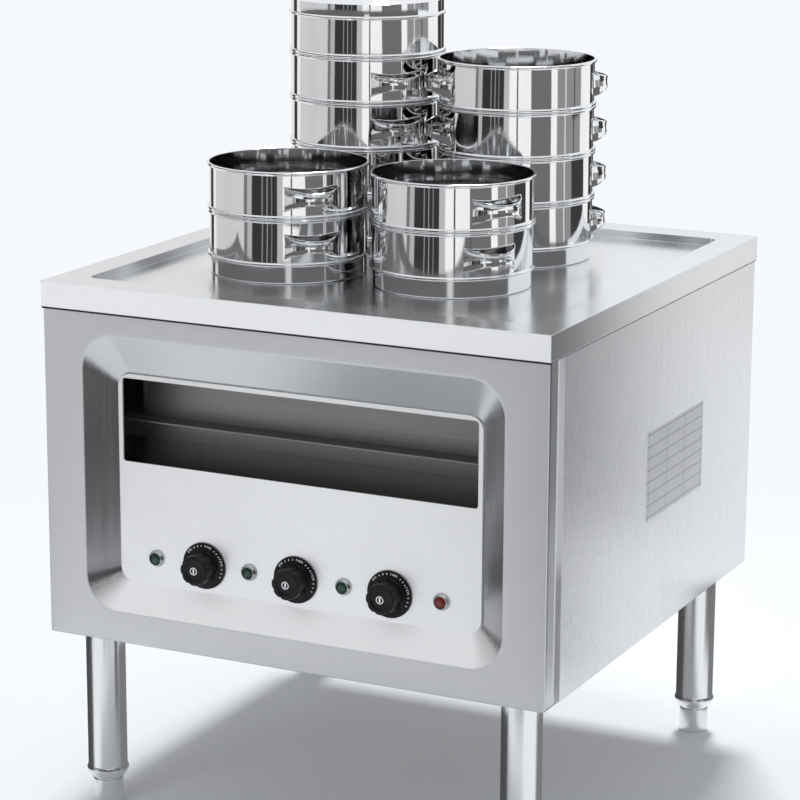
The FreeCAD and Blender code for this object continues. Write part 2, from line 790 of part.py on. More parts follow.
for name, x in knob_places().items():
    save("knob_" + name, knob(x))
    save("spindle_" + name, spindle(x))
save("thermostats", Part.makeCompound([thermostat(x) for x in knob_places().values()]))
save("lamp_bezels", Part.makeCompound([lamp_bezel(x) for x in lamp_places()]))
save("green_lenses", Part.makeCompound([lamp_lens(x) for x in lamp_places()[:-1]]))
save("red_lens", lamp_lens(lamp_places()[-1]))

for name, (x, y) in leg_places().items():
    save("leg_" + name, leg(x, y))
    save("foot_" + name, foot(x, y))
save("leg_sockets", Part.makeCompound([leg_socket(x, y) for x, y in leg_places().values()]))

save("drain_pipe", drain_pipe())
save("drain_valve", drain_valve())
save("drain_lever", drain_lever())
save("cable_gland", cable_gland())
save("terminal_block", terminal_block())

one_basket = basket_body()
one_bow = handle_bow()
for stack, x, y, azimuths in stack_places:
    for tier, azimuth in enumerate(azimuths):
        name = stack + "_basket_" + str(tier + 1)
        z = sink_top + tier * basket_pitch
        save(name, placed(one_basket, x, y, z, azimuth - 90))
        save(name + "_handles", Part.makeCompound([placed(one_bow, x, y, z, azimuth - 90),
                                                   placed(one_bow, x, y, z, azimuth + 90)]))
    if stack == lidded_stack:
        z = sink_top + len(azimuths) * basket_pitch + basket_skirt - lid_skirt
        save("lid", placed(lid_body(), x, y, z, azimuth))
        save("lid_knob", placed(lid_knob(), x, y, z, azimuth))
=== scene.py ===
import math

import bmesh
import bpy
import numpy as np
from mathutils import Matrix, Vector, geometry


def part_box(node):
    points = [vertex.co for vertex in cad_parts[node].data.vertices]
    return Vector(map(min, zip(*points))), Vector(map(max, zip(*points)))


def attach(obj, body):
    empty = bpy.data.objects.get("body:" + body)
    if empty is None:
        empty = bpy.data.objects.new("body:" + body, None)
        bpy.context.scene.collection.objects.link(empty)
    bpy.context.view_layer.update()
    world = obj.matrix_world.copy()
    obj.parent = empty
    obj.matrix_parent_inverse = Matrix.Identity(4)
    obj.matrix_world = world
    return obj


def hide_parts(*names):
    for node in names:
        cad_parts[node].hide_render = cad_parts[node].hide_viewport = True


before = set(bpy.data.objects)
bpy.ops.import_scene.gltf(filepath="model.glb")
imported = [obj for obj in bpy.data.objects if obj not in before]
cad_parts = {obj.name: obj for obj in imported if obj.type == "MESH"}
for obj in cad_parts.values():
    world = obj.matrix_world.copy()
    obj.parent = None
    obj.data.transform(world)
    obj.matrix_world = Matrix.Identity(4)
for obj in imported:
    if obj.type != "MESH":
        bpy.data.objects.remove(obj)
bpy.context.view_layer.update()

MM = 0.001

# Camera, fitted to the photograph
CAMERA_PLACE = (1.4011, -2.8847, 1.2218)
CAMERA_YAW = 0.456815
CAMERA_PITCH = 0.239257
CAMERA_ROLL = 0.004584
CAMERA_LENS = 130.22

# How many steps make a full turn, and how many points ease one corner of an outline
TURN_STEPS = 128
KNOB_TURN_STEPS = 192
CAP_TURN_STEPS = 48
LAMP_TURN_STEPS = 64
EASE_STEPS = 7

# Points of a mesh nearer than this are one point, in metres
WELD_DISTANCE = 2e-6

CORNERS = ("front_left", "front_right", "rear_left", "rear_right")


# Mesh helpers

def grid_faces(rows, columns, wrap_rows=False, wrap_columns=False, start=0):
    """Quads between the neighbours of a grid of points kept row by row: each quad joins columns
    j and j + 1 of rows i and i + 1, round to the first one where the grid wraps."""
    i, j = np.meshgrid(np.arange(rows if wrap_rows else rows - 1),
                       np.arange(columns if wrap_columns else columns - 1), indexing="ij")
    below = (i + 1) % rows
    beside = (j + 1) % columns
    quads = np.stack([i * columns + j, i * columns + beside, below * columns + beside,
                      below * columns + j], axis=-1)
    return start + quads.reshape(-1, 4)


def joined(*shells):
    """Several (points, faces) shells as one, with their point numbers counted on."""
    points = []
    faces = []
    start = 0
    for shell_points, shell_faces in shells:
        points.append(np.reshape(shell_points, (-1, 3)))
        faces += [start + part for part in shell_faces]
        start += len(points[-1])
    return np.concatenate(points), faces


def make_piece(name, shell, body, finish, stands_for=(), sharp=35.0, weld=True, outward=True):
    """One object at the origin from points and faces, welded, smooth but for its sharp bends,
    riding on a body and taking a finish."""
    points, faces = shell
    mesh = bpy.data.meshes.new(name)
    corners = np.concatenate([part.ravel() for part in faces])
    sizes = np.concatenate([np.full(len(part), part.shape[1]) for part in faces])
    mesh.vertices.add(len(points))
    mesh.vertices.foreach_set("co", np.ascontiguousarray(points, dtype=np.float32).ravel())
    mesh.loops.add(len(corners))
    mesh.loops.foreach_set("vertex_index", corners.astype(np.int32))
    mesh.polygons.add(len(sizes))
    mesh.polygons.foreach_set("loop_start", (np.cumsum(sizes) - sizes).astype(np.int32))
    mesh.update(calc_edges=True)
    work = bmesh.new()
    work.from_mesh(mesh)
    if weld:
        bmesh.ops.remove_doubles(work, verts=work.verts, dist=WELD_DISTANCE)
        bmesh.ops.dissolve_degenerate(work, edges=work.edges, dist=WELD_DISTANCE)
    if outward:
        bmesh.ops.recalc_face_normals(work, faces=work.faces)
    work.to_mesh(mesh)
    work.free()
    mesh.shade_smooth()
    mesh.set_sharp_from_angle(angle=math.radians(sharp))
    piece = bpy.data.objects.new(name, mesh)
    bpy.context.scene.collection.objects.link(piece)
    piece.data.materials.append(finish)
    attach(piece, body)
    if stands_for:
        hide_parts(*stands_for)
    return piece


def eased(corners):
    """A closed outline of (across, up, ease) corners with each corner eased: it is cut back by
    ease on both sides and bridged by the curve (1-s)^2 A + 2s(1-s) C + s^2 B."""
    corners = np.asarray(corners, dtype=float)
    middle = corners[:, :2]
    ease = corners[:, 2:3]
    back = np.roll(middle, 1, axis=0) - middle
    ahead = np.roll(middle, -1, axis=0) - middle
    first = middle + ease * back / np.linalg.norm(back, axis=1, keepdims=True)
    last = middle + ease * ahead / np.linalg.norm(ahead, axis=1, keepdims=True)
    s = np.linspace(0.0, 1.0, EASE_STEPS)[None, :, None]
    curve = (1 - s) ** 2 * first[:, None] + 2 * s * (1 - s) * middle[:, None] + s ** 2 * last[:, None]
    return curve.reshape(-1, 2)


def turned(profile, centre, steps=TURN_STEPS, axis="z", closed=True, lobes=None):
    """A turned shell: every (radius, height) of the profile goes round the axis, so a point is
    the centre plus radius times (cos t, sin t) and height along the axis. Heights on axis y
    count towards the viewer. lobes changes a radius by the turn, the radius and the height."""
    t = np.linspace(0.0, 2 * math.pi, steps, endpoint=False)[None, :]
    radius = profile[:, 0:1] * np.ones_like(t)
    height = profile[:, 1:2] * np.ones_like(t)
    if lobes is not None:
        radius = lobes(t, radius, height)
    if axis == "z":
        points = np.stack([radius * np.cos(t), radius * np.sin(t), height], axis=-1)
    else:
        points = np.stack([radius * np.cos(t), -height, radius * np.sin(t)], axis=-1)
    faces = grid_faces(len(profile), steps, wrap_rows=closed, wrap_columns=True)
    return points.reshape(-1, 3) * MM + np.asarray(centre), [faces]


def box_shell(low, high):
    """A box between two opposite corners, in metres."""
    x0, y0, z0 = low
    x1, y1, z1 = high
    points = np.array([(x0, y0, z0), (x1, y0, z0), (x1, y1, z0), (x0, y1, z0),
                       (x0, y0, z1), (x1, y0, z1), (x1, y1, z1), (x0, y1, z1)])
    faces = np.array([(0, 3, 2, 1), (4, 5, 6, 7), (0, 1, 5, 4), (1, 2, 6, 5), (2, 3, 7, 6),
                      (3, 0, 4, 7)])
    return points, [faces]


def foot_of(node_name):
    """The middle of a node's box, at its bottom."""
    low, high = (np.array(corner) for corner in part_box(node_name))
    return np.array([(low[0] + high[0]) / 2, (low[1] + high[1]) / 2, low[2]])


# Finishes

# Noise lies mostly between its low and high value, and a ramp's two shades just inside them
NOISE_LOW = 0.3
NOISE_HIGH = 0.7
DARK_AT = 0.32
LIGHT_AT = 0.68

# How deep a sheet's slow ripple and a surface's fine grain can go, in metres
RIPPLE_DEPTH = 0.02
GRAIN_DEPTH = 0.0001

# Satin faces and painted highlights: how much they blur more, and what bounds them
SATIN_BLUR = 0.16
FLAT_FACE_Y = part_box("front_panel")[0][1]
FADE_START = 0.0001
FADE_END = 0.0010
DECK_FRONT_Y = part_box("deck_top")[0][1]
BAND_DEPTH = 0.0004
UP_START = 0.15
UP_FULL = 0.55


def node(tree, kind, links=None, **settings):
    """One shader node, with its settings and its inputs: a socket is linked, a value is set."""
    made = tree.nodes.new("ShaderNode" + kind)
    for key, value in settings.items():
        setattr(made, key, value)
    for key, value in (links or {}).items():
        if isinstance(value, bpy.types.NodeSocket):
            tree.links.new(value, made.inputs[key])
        else:
            made.inputs[key].default_value = value
    return made


def new_finish(name):
    """An empty material and its shader node."""
    finish = bpy.data.materials.new(name)
    finish.use_nodes = True
    tree = finish.node_tree
    return finish, tree, tree.nodes["Principled BSDF"]


def noise_on(tree, scale, detail=3.0, roughness=0.55):
    """Noise over the object's own coordinates, stretched by a scale along each axis."""
    place = node(tree, "TexCoord").outputs["Object"]
    stretched = node(tree, "Mapping", {"Vector": place, "Scale": scale}).outputs["Vector"]
    return node(tree, "TexNoise", {"Vector": stretched, "Scale": 1.0, "Detail": detail,
                                   "Roughness": roughness}).outputs["Fac"]


def spread(tree, value, low, high):
    """A noise value moved to a range, with most of its contrast kept."""
    return node(tree, "MapRange", {"Value": value, "From Min": NOISE_LOW, "From Max": NOISE_HIGH,
                                   "To Min": low, "To Max": high}).outputs["Result"]


def shade_between(tree, value, dark, light):
    """A colour between two shades by a value from 0 to 1."""
    ramp = node(tree, "ValToRGB", {"Fac": value})
    ramp.color_ramp.elements[0].position = DARK_AT
    ramp.color_ramp.elements[0].color = (*dark, 1.0)
    ramp.color_ramp.elements[1].position = LIGHT_AT
    ramp.color_ramp.elements[1].color = (*light, 1.0)
    return ramp.outputs["Color"]


def steel(name, shade, roughness, grain, grain_depth=0.3, ripple=0.15, ripple_scale=(3, 3, 3),
          edge=0.0, smudge=0.05, vary=0.06, satin_and_painted_faces=(), haze=0.0):
    """Sheet steel: brush or spinning lines along one axis in its gloss and surface, a slow
    ripple of the sheet, faint smudges of handling, and softened edges. haze is the share of its
    shine that the brushing scatters. Each masked place takes its own matt face, by a mask, a shade
    and a shine: some are brushed satin faces, others painted highlights, a pale matt colour for a bright
    reflection."""
    finish, tree, shader = new_finish(name)
    lines = noise_on(tree, grain)
    smudges = noise_on(tree, (9, 9, 9), detail=4.0)
    darker = tuple(c * (1 - smudge) for c in shade)
    colour = shade_between(tree, smudges, darker, shade)
    shine = 1.0 - haze
    shader.inputs["Metallic"].default_value = shine
    gloss = node(tree, "Math", {0: spread(tree, lines, roughness - vary, roughness + vary),
                                1: spread(tree, smudges, -vary / 3, vary / 3)}, operation="ADD")
    for place_mask, face_shade, face_shine in satin_and_painted_faces:
        mask = place_mask(tree)
        shine = node(tree, "Mix", {"Factor": mask, "A": shine, "B": face_shine}).outputs["Result"]
        tree.links.new(shine, shader.inputs["Metallic"])
        gloss = node(tree, "Math", {0: mask, 1: SATIN_BLUR, 2: gloss.outputs["Value"]},
                     operation="MULTIPLY_ADD")
        colour = node(tree, "Mix", {"Factor": mask, "A": colour, "B": (*face_shade, 1.0)},
                      data_type="RGBA").outputs["Result"]
    tree.links.new(colour, shader.inputs["Base Color"])
    tree.links.new(gloss.outputs["Value"], shader.inputs["Roughness"])
    waves = noise_on(tree, ripple_scale, detail=1.0)
    links = {"Height": waves, "Strength": ripple, "Distance": RIPPLE_DEPTH}
    if edge:
        links["Normal"] = node(tree, "Bevel", {"Radius": edge}, samples=6).outputs["Normal"]
    rippled = node(tree, "Bump", links)
    brushed = node(tree, "Bump", {"Height": lines, "Strength": grain_depth, "Distance": GRAIN_DEPTH,
                                  "Normal": rippled.outputs["Normal"]})
    tree.links.new(brushed.outputs["Normal"], shader.inputs["Normal"])
    return finish


def moulded(name, dark, light, roughness, coat=0.0, grain=1800.0, specular=0.5):
    """Moulded plastic: a fine texture of the mould, slow shade changes and a slight gloss."""
    finish, tree, shader = new_finish(name)
    cloud = noise_on(tree, (60, 60, 60))
    tree.links.new(shade_between(tree, cloud, dark, light), shader.inputs["Base Color"])
    tree.links.new(spread(tree, cloud, roughness - 0.05, roughness + 0.07), shader.inputs["Roughness"])
    shader.inputs["Specular IOR Level"].default_value = specular
    shader.inputs["Coat Weight"].default_value = coat
    shader.inputs["Coat Roughness"].default_value = 0.08
    skin = noise_on(tree, (grain, grain, grain), detail=2.0)
    bump = node(tree, "Bump", {"Height": skin, "Strength": 0.15, "Distance": GRAIN_DEPTH})
    tree.links.new(bump.outputs["Normal"], shader.inputs["Normal"])
    return finish


def metal(name, dark, light, roughness, grain=400.0):
    """Turned or cast metal that is not sheet: small shade changes and a fine turned surface."""
    finish, tree, shader = new_finish(name)
    cloud = noise_on(tree, (50, 50, 50))
    tree.links.new(shade_between(tree, cloud, dark, light), shader.inputs["Base Color"])
    shader.inputs["Metallic"].default_value = 1.0
    tree.links.new(spread(tree, cloud, roughness - 0.04, roughness + 0.06), shader.inputs["Roughness"])
    skin = noise_on(tree, (grain, grain, grain), detail=2.0)
    bump = node(tree, "Bump", {"Height": skin, "Strength": 0.1, "Distance": GRAIN_DEPTH})
    tree.links.new(bump.outputs["Normal"], shader.inputs["Normal"])
    return finish


def flat_front(tree):
    """1 on the front panel's flat face, falling to 0 within 1 mm behind it, so down the drawn
    recess and on the side returns."""
    apart = node(tree, "SeparateXYZ", {"Vector": node(tree, "TexCoord").outputs["Object"]})
    return node(tree, "MapRange", {"Value": apart.outputs["Y"], "From Min": FLAT_FACE_Y + FADE_START,
                                   "From Max": FLAT_FACE_Y + FADE_END, "To Min": 1.0,
                                   "To Max": 0.0}).outputs["Result"]


def painted_highlight_up_faces(tree):
    """Paints a highlight: 1 on faces that look up by more than about 33 degrees, falling to 0 at
    about 9 degrees, where a near-white matt colour stands in for a bright reflection. The height
    of the face's normal runs from UP_START to UP_FULL between the two."""
    apart = node(tree, "SeparateXYZ", {"Vector": node(tree, "TexCoord").outputs["Normal"]})
    return node(tree, "MapRange", {"Value": apart.outputs["Z"], "From Min": UP_START, "From Max": UP_FULL,
                                   "To Min": 0.0, "To Max": 1.0}).outputs["Result"]


def painted_highlight_front_band(tree):
    """1 on the deck's turned-down front edge and 0 elsewhere: there a paler matt colour is painted as a
    highlight.
    """
    apart = node(tree, "SeparateXYZ", {"Vector": node(tree, "TexCoord").outputs["Object"]})
    return node(tree, "Math", {0: apart.outputs["Y"], 1: DECK_FRONT_Y + BAND_DEPTH},
                operation="LESS_THAN").outputs[0]


# The front panel paints a highlight on its faces that look up, chiefly the recess's lower slope: a
# near-white matt colour
FRONT_STEEL = steel("front_brushed_steel_painted_slope", (0.66, 0.665, 0.675), 0.24, (1100, 1100, 7), edge=0.0006,
                    grain_depth=0.08, ripple=0.010, vary=0.03,
                    satin_and_painted_faces=((flat_front, (0.65, 0.655, 0.665), 0.50), (painted_highlight_up_faces, (0.98, 0.98, 0.985), 0.10)))
CONTROL_STEEL = steel("control_satin_steel", (0.92, 0.925, 0.935), 0.32, (900, 900, 7), edge=0.0004,
                      grain_depth=0.015, ripple=0.0, vary=0.01, haze=0.45)
SIDE_STEEL = steel("side_brushed_steel", (0.90, 0.905, 0.915), 0.26, (1100, 1100, 7), edge=0.0006,
                   grain_depth=0.07, ripple=0.015, vary=0.03, haze=0.12)
# The deck paints a highlight on its turned-down front edge: a paler matt colour than the top
DECK_STEEL = steel("deck_satin_steel_painted_edge", (0.80, 0.81, 0.82), 0.20, (5, 500, 500), edge=0.0010,
                   grain_depth=0.04, ripple=0.02, vary=0.02,
                   satin_and_painted_faces=((painted_highlight_front_band, (0.92, 0.925, 0.93), 0.15),))
INNER_STEEL = steel("inner_mill_steel", (0.40, 0.395, 0.375), 0.50, (6, 500, 500), edge=0.0008,
                    ripple=0.08, haze=0.15)
# Near-black finish of the strip that paints the shadow line under the deck's edge
SHADOW_STRIP_DARK = moulded("deck_shadow_strip", (0.010, 0.010, 0.011), (0.018, 0.018, 0.019), 0.6)
BASKET_STEEL = steel("basket_mirror_steel", (0.90, 0.905, 0.91), 0.05, (30, 30, 900),
                     grain_depth=0.05, ripple=0.04, ripple_scale=(14, 14, 5), vary=0.02)
STRAP_STEEL = steel("handle_mirror_steel", (0.90, 0.905, 0.91), 0.07, (60, 60, 60), ripple=0.05,
                    ripple_scale=(30, 30, 30), vary=0.02, grain_depth=0.05)
LEG_STEEL = steel("leg_polished_steel", (0.94, 0.945, 0.95), 0.24, (900, 900, 8), grain_depth=0.08,
                  ripple=0.01, vary=0.03)
FOOT_STEEL = steel("foot_turned_steel", (0.88, 0.885, 0.89), 0.24, (30, 30, 900), grain_depth=0.1,
                   ripple=0.01, vary=0.03)
HEATER_STEEL = metal("heater_alloy", (0.26, 0.24, 0.22), (0.42, 0.40, 0.37), 0.4)
BRASS = metal("valve_brass", (0.55, 0.40, 0.17), (0.68, 0.52, 0.25), 0.3)
SPINDLE_STEEL = metal("spindle_steel", (0.5, 0.5, 0.5), (0.62, 0.62, 0.62), 0.3)
CHROME = metal("bezel_chrome", (0.46, 0.47, 0.48), (0.58, 0.59, 0.60), 0.20)
CAP_CHROME = metal("cap_chrome", (0.80, 0.81, 0.82), (0.88, 0.89, 0.90), 0.22)
BLACK_PLASTIC = moulded("knob_black_plastic", (0.004, 0.0045, 0.0045), (0.009, 0.010, 0.010), 0.34,
                        specular=0.25)
GLAND_PLASTIC = moulded("gland_nylon", (0.014, 0.014, 0.014), (0.03, 0.03, 0.03), 0.5)
SWITCH_PLASTIC = moulded("switch_plastic", (0.55, 0.54, 0.50), (0.68, 0.67, 0.62), 0.5)
BLOCK_PLASTIC = moulded("block_plastic", (0.62, 0.60, 0.55), (0.74, 0.72, 0.68), 0.5)
GREEN_LENS = moulded("green_lens", (0.002, 0.022, 0.012), (0.006, 0.05, 0.028), 0.14, coat=0.3)
RED_LENS = moulded("red_lens", (0.08, 0.004, 0.004), (0.16, 0.008, 0.007), 0.14, coat=0.3)
DIAL_INK = moulded("dial_white_ink", (0.70, 0.70, 0.69), (0.84, 0.84, 0.83), 0.5)

CAD_FINISHES = {
    "deck_top": DECK_STEEL, "control_panel": CONTROL_STEEL, "left_side_panel": SIDE_STEEL,
    "right_side_panel": SIDE_STEEL, "rear_panel": SIDE_STEEL, "base_panel": INNER_STEEL,
    "water_tank": INNER_STEEL, "tank_rails": INNER_STEEL, "heating_elements": HEATER_STEEL,
    "thermostats": SWITCH_PLASTIC, "leg_sockets": INNER_STEEL, "drain_pipe": INNER_STEEL,
    "drain_valve": BRASS, "drain_lever": INNER_STEEL, "cable_gland": GLAND_PLASTIC,
    "terminal_block": BLOCK_PLASTIC, "spindle_left": SPINDLE_STEEL, "spindle_middle": SPINDLE_STEEL,
    "spindle_right": SPINDLE_STEEL,
}
for cad_name, cad_finish in CAD_FINISHES.items():
    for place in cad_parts[cad_name].material_slots:
        place.material = cad_finish


# Front panel: one sheet with a drawn recess

PANEL_HALF = 298.5
PANEL_LOW = 208.0
PANEL_HIGH = 603.5
PANEL_CORNER = 0.4
PANEL_BEND = 1.6
SIDE_RETURN = 39.0
LOW_RETURN = 15.0
PANEL_SHEET = 1.2
# Rounded outlines in millimetres: half width, low edge, high edge and corner radius
MOUTH = np.array([251.0, 243.0, 552.5, 40.0])
WINDOW = np.array([218.0, 273.5, 508.0, 16.0])
FLANGE = np.array([212.5, 279.0, 502.5, 4.0])
WINDOW_DEPTH = 21.5
MOUTH_SOFTNESS = 0.012
# An outline's points in each corner and along each side, and the loops that the sheet has from
# window (0) to mouth (1), round its outer bend, and along its returns (shares of their depth)
ARC_STEPS = 14
SIDE_STEPS = 16
OUTLINE_POINTS = 4 * (ARC_STEPS + SIDE_STEPS)
SLOPE_LOOPS = np.concatenate([np.linspace(0.0, 0.92, 7), np.linspace(0.935, 1.065, 25)])
BEND_LOOPS = np.linspace(0.0, math.pi / 2, 6)
RETURN_LOOPS = (0.12, 0.5, 1.0)


def outline_points(half_width, low, high, corner):
    """Points round a rounded rectangle, the same number for every size: each corner is a quarter
    circle about its own centre, and each side runs straight to the next corner's start."""
    centres = np.array([(half_width - corner, low + corner), (half_width - corner, high - corner),
                        (corner - half_width, high - corner), (corner - half_width, low + corner)])
    first = np.arange(-1, 3)[:, None] * math.pi / 2
    quarter = np.linspace(0.0, math.pi / 2, ARC_STEPS)[None, :] + first
    arcs = centres[:, None] + corner * np.stack([np.cos(quarter), np.sin(quarter)], axis=-1)
    s = np.linspace(0.0, 1.0, SIDE_STEPS + 2)[None, 1:-1, None]
    sides = arcs[:, -1:] * (1 - s) + np.roll(arcs[:, :1], -1, axis=0) * s
    return np.concatenate([arcs, sides], axis=1).reshape(-1, 2)


def loop_at(size, depth):
    """One loop of the sheet: an outline's points, all at one depth."""
    return np.column_stack([outline_points(*size), np.full(OUTLINE_POINTS, depth)])


def front_sheet():
    """The front panel's face as loops from the window out: between window and mouth a loop is
    their mix by q, and its depth is the soft ramp WINDOW_DEPTH * s * log(1 + exp((1 - q) / s)).
    Past the flat face the sheet bends back round a quarter circle and ends in its returns."""
    loops = [loop_at(FLANGE, WINDOW_DEPTH)]
    soft = MOUTH_SOFTNESS
    for q in SLOPE_LOOPS:
        depth = WINDOW_DEPTH * soft * math.log1p(math.exp((1 - q) / soft))
        loops.append(loop_at(WINDOW + (MOUTH - WINDOW) * q, min(depth, WINDOW_DEPTH)))
    for turn in BEND_LOOPS:
        inset = PANEL_BEND * (1 - math.sin(turn))
        size = (PANEL_HALF - inset, PANEL_LOW + inset, PANEL_HIGH - inset,
                PANEL_BEND - inset + PANEL_CORNER)
        loops.append(loop_at(size, PANEL_BEND * (1 - math.cos(turn))))
    edge = loops[-1][:, :2]
    on_side = np.abs(edge[:, 0]) > PANEL_HALF - PANEL_BEND / 2
    for share in RETURN_LOOPS:
        deep = PANEL_BEND + share * (np.where(on_side, SIDE_RETURN, LOW_RETURN) - PANEL_BEND)
        loops.append(np.column_stack([edge, deep]))
    loops = np.array(loops)
    points = np.stack([loops[..., 0] * MM, FLAT_FACE_Y + loops[..., 2] * MM, loops[..., 1] * MM], axis=-1)
    return points.reshape(-1, 3), [grid_faces(len(loops), OUTLINE_POINTS, wrap_columns=True)[:, ::-1]]


def thicken(piece, thickness):
    """Gives a sheet its thickness, on the side away from its outer face."""
    wall = piece.modifiers.new("sheet", "SOLIDIFY")
    wall.thickness = thickness
    wall.offset = -1.0
    return piece


front = make_piece("front_panel_sheet", front_sheet(), "cabinet", FRONT_STEEL,
                   ("front_panel",), sharp=24.0, outward=False)
thicken(front, PANEL_SHEET * MM)


# Steam baskets

BASKET_RING = 80.0
FLOOR_HOLE = 4.2
FLOOR_PITCH = 14.5
FLOOR_HOLE_REACH = 73.0
FLOOR_SHEET = 0.6
HOLE_ROWS = 8
HOLE_STEPS = 12
BASKET_PROFILE = [
    (BASKET_RING, 0.0, 0.0), (87.1, 0.0, 2.2), (87.1, 19.5, 0.1), (90.4, 19.5, 1.7), (90.4, 23.2, 1.7),
    (88.0, 23.4, 0.4), (88.0, 67.6, 0.4), (90.4, 67.8, 1.7), (90.4, 71.5, 1.7), (87.4, 71.5, 0.6),
    (87.4, 22.9, 0.6), (86.5, 19.5, 0.4), (86.5, FLOOR_SHEET, 1.4), (BASKET_RING, FLOOR_SHEET, 0.0)]


def floor_plate():
    """A perforated round plate: round holes FLOOR_PITCH from their six neighbours, every
    second row moved by half a pitch, inside FLOOR_HOLE_REACH. Its rim has the same steps as the
    basket's wall, and a triangle whose middle lies within a hole is dropped."""
    rows = np.arange(-HOLE_ROWS, HOLE_ROWS + 1)
    row, column = np.meshgrid(rows, rows, indexing="ij")
    x = (column + 0.5 * (row % 2)) * FLOOR_PITCH
    y = row * FLOOR_PITCH * math.sqrt(3) / 2
    centres = np.stack([x.ravel(), y.ravel()], axis=-1)
    centres = centres[np.hypot(centres[:, 0], centres[:, 1]) < FLOOR_HOLE_REACH - FLOOR_HOLE]
    t = np.linspace(0.0, 2 * math.pi, TURN_STEPS, endpoint=False)
    rim = BASKET_RING * np.stack([np.cos(t), np.sin(t)], axis=-1)
    h = np.linspace(0.0, 2 * math.pi, HOLE_STEPS, endpoint=False)
    hole = FLOOR_HOLE * np.stack([np.cos(h), np.sin(h)], axis=-1)
    holes = centres[:, None] + hole[None]
    flat = np.concatenate([rim, holes.reshape(-1, 2)])
    hole_start = TURN_STEPS + HOLE_STEPS * np.arange(len(centres))[:, None]
    loops = [list(range(TURN_STEPS))]
    loops += (hole_start + np.arange(HOLE_STEPS)[None]).tolist()
    found = geometry.delaunay_2d_cdt([Vector(p) for p in flat.tolist()], [], loops, 2, 1e-7)
    level = np.array([tuple(p) for p in found[0]])
    around = np.array(found[2])
    middle = level[around].mean(axis=1)
    nearest = np.min(np.hypot(middle[:, None, 0] - centres[None, :, 0],
                              middle[:, None, 1] - centres[None, :, 1]), axis=1)
    around = around[nearest > FLOOR_HOLE * 0.995]
    count = len(level)
    low = np.column_stack([level, np.zeros(count)])
    high = np.column_stack([level, np.full(count, FLOOR_SHEET)])
    wall_points = np.concatenate([np.dstack([holes, np.zeros(holes.shape[:2])]),
                                  np.dstack([holes, np.full(holes.shape[:2], FLOOR_SHEET)])], axis=1)
    ring = np.arange(HOLE_STEPS)
    beside = (ring + 1) % HOLE_STEPS
    quad = np.stack([ring, ring + HOLE_STEPS, beside + HOLE_STEPS, beside], axis=-1)
    walls = (2 * HOLE_STEPS * np.arange(len(centres))[:, None, None] + quad[None]).reshape(-1, 4)
    return joined((low, [around[:, ::-1]]), (high, [around]), (wall_points, [walls]))


def moved(shell, centre):
    """A shell in millimetres moved to a place in metres."""
    points, faces = shell
    return points * MM + np.asarray(centre), faces


# The handle's bow in plan, and how its top and bottom edges draw in towards the crown
BOW_ROOT_RADIUS = 88.0
BOW_HALF_WIDTH = 31.5
BOW_CROWN = 105.0
BOW_HIGH = 56.0
BOW_LOW = 28.0
BOW_TOP_FALL = 6.0
BOW_BOTTOM_RISE = 9.0
BOW_STEPS = 41
STRAP_INSET = 0.75
STRAP_SCALE = 0.6
# The strap's section: out from its middle, edge (0 low, 1 high) and up from that edge
STRAP_SECTION = [(0.0, 0, -0.1), (-0.9, 0, 0.2), (-1.25, 0, 1.0), (-1.2, 0, 2.0), (-0.9, 0, 3.0),
                 (-0.9, 1, -3.0), (-1.2, 1, -2.0), (-1.25, 1, -1.0), (-0.9, 1, -0.2), (0.0, 1, 0.1),
                 (0.9, 1, -0.2), (1.25, 1, -1.0), (1.2, 1, -2.0), (0.3, 1, -3.0),
                 (0.3, 0, 3.0), (1.2, 0, 2.0), (1.25, 0, 1.0), (0.9, 0, 0.2)]


def bow_strap(azimuth):
    """A handle: a strap carried round an arc in plan, with a rolled edge above and below. At
    the fraction f from root to crown its edges are BOW_HIGH - BOW_TOP_FALL f and
    BOW_LOW + BOW_BOTTOM_RISE f, and the section's points keep their distance from them."""
    root = math.sqrt(BOW_ROOT_RADIUS ** 2 - BOW_HALF_WIDTH ** 2)
    rise = BOW_CROWN - root
    bend = (BOW_HALF_WIDTH ** 2 + rise ** 2) / (2 * rise)
    centre = BOW_CROWN - bend
    reach = math.asin(BOW_HALF_WIDTH / bend)
    turn = np.linspace(-reach, reach, BOW_STEPS)[:, None]
    section = np.array(STRAP_SECTION)
    radius = bend - STRAP_INSET + section[None, :, 0] * STRAP_SCALE
    f = np.clip((centre + bend * np.cos(turn) - root) / rise, 0, 1)
    high = BOW_HIGH - BOW_TOP_FALL * f
    low = BOW_LOW + BOW_BOTTOM_RISE * f
    up = np.where(section[None, :, 1] > 0, high, low) + section[None, :, 2]
    out = centre + radius * np.cos(turn)
    across = radius * np.sin(turn)
    c, s = math.cos(azimuth), math.sin(azimuth)
    points = np.stack([out * c - across * s, out * s + across * c, up * np.ones_like(out)], axis=-1)
    rows, columns = points.shape[:2]
    ends = [np.arange(columns)[None, :], (rows - 1) * columns + np.arange(columns)[None, ::-1]]
    return points.reshape(-1, 3), [grid_faces(rows, columns, wrap_columns=True)] + ends


# Each stack from its lowest basket up: the turn of its handles from the front towards +X
STACKS = {"front_left": [46.0] * 2, "front_right": [53.5, 59.5], "back_left": [50.0] * 4,
          "back_right": [-54.0] * 4}
pan_points, pan_faces = joined(turned(eased(BASKET_PROFILE), (0, 0, 0), closed=False),
                               moved(floor_plate(), (0, 0, 0)))
for stack, azimuths in STACKS.items():
    for tier, azimuth in enumerate(azimuths):
        name = "%s_basket_%d" % (stack, tier + 1)
        centre = foot_of(name)
        make_piece(name + "_pan", (pan_points + centre, pan_faces), name, BASKET_STEEL,
                   (name,))
        front_turn = math.radians(azimuth - 90)
        bows = joined(moved(bow_strap(front_turn), centre),
                      moved(bow_strap(front_turn + math.pi), centre))
        make_piece(name + "_bows", bows, name, STRAP_STEEL, (name + "_handles",))


# Lid and its knob

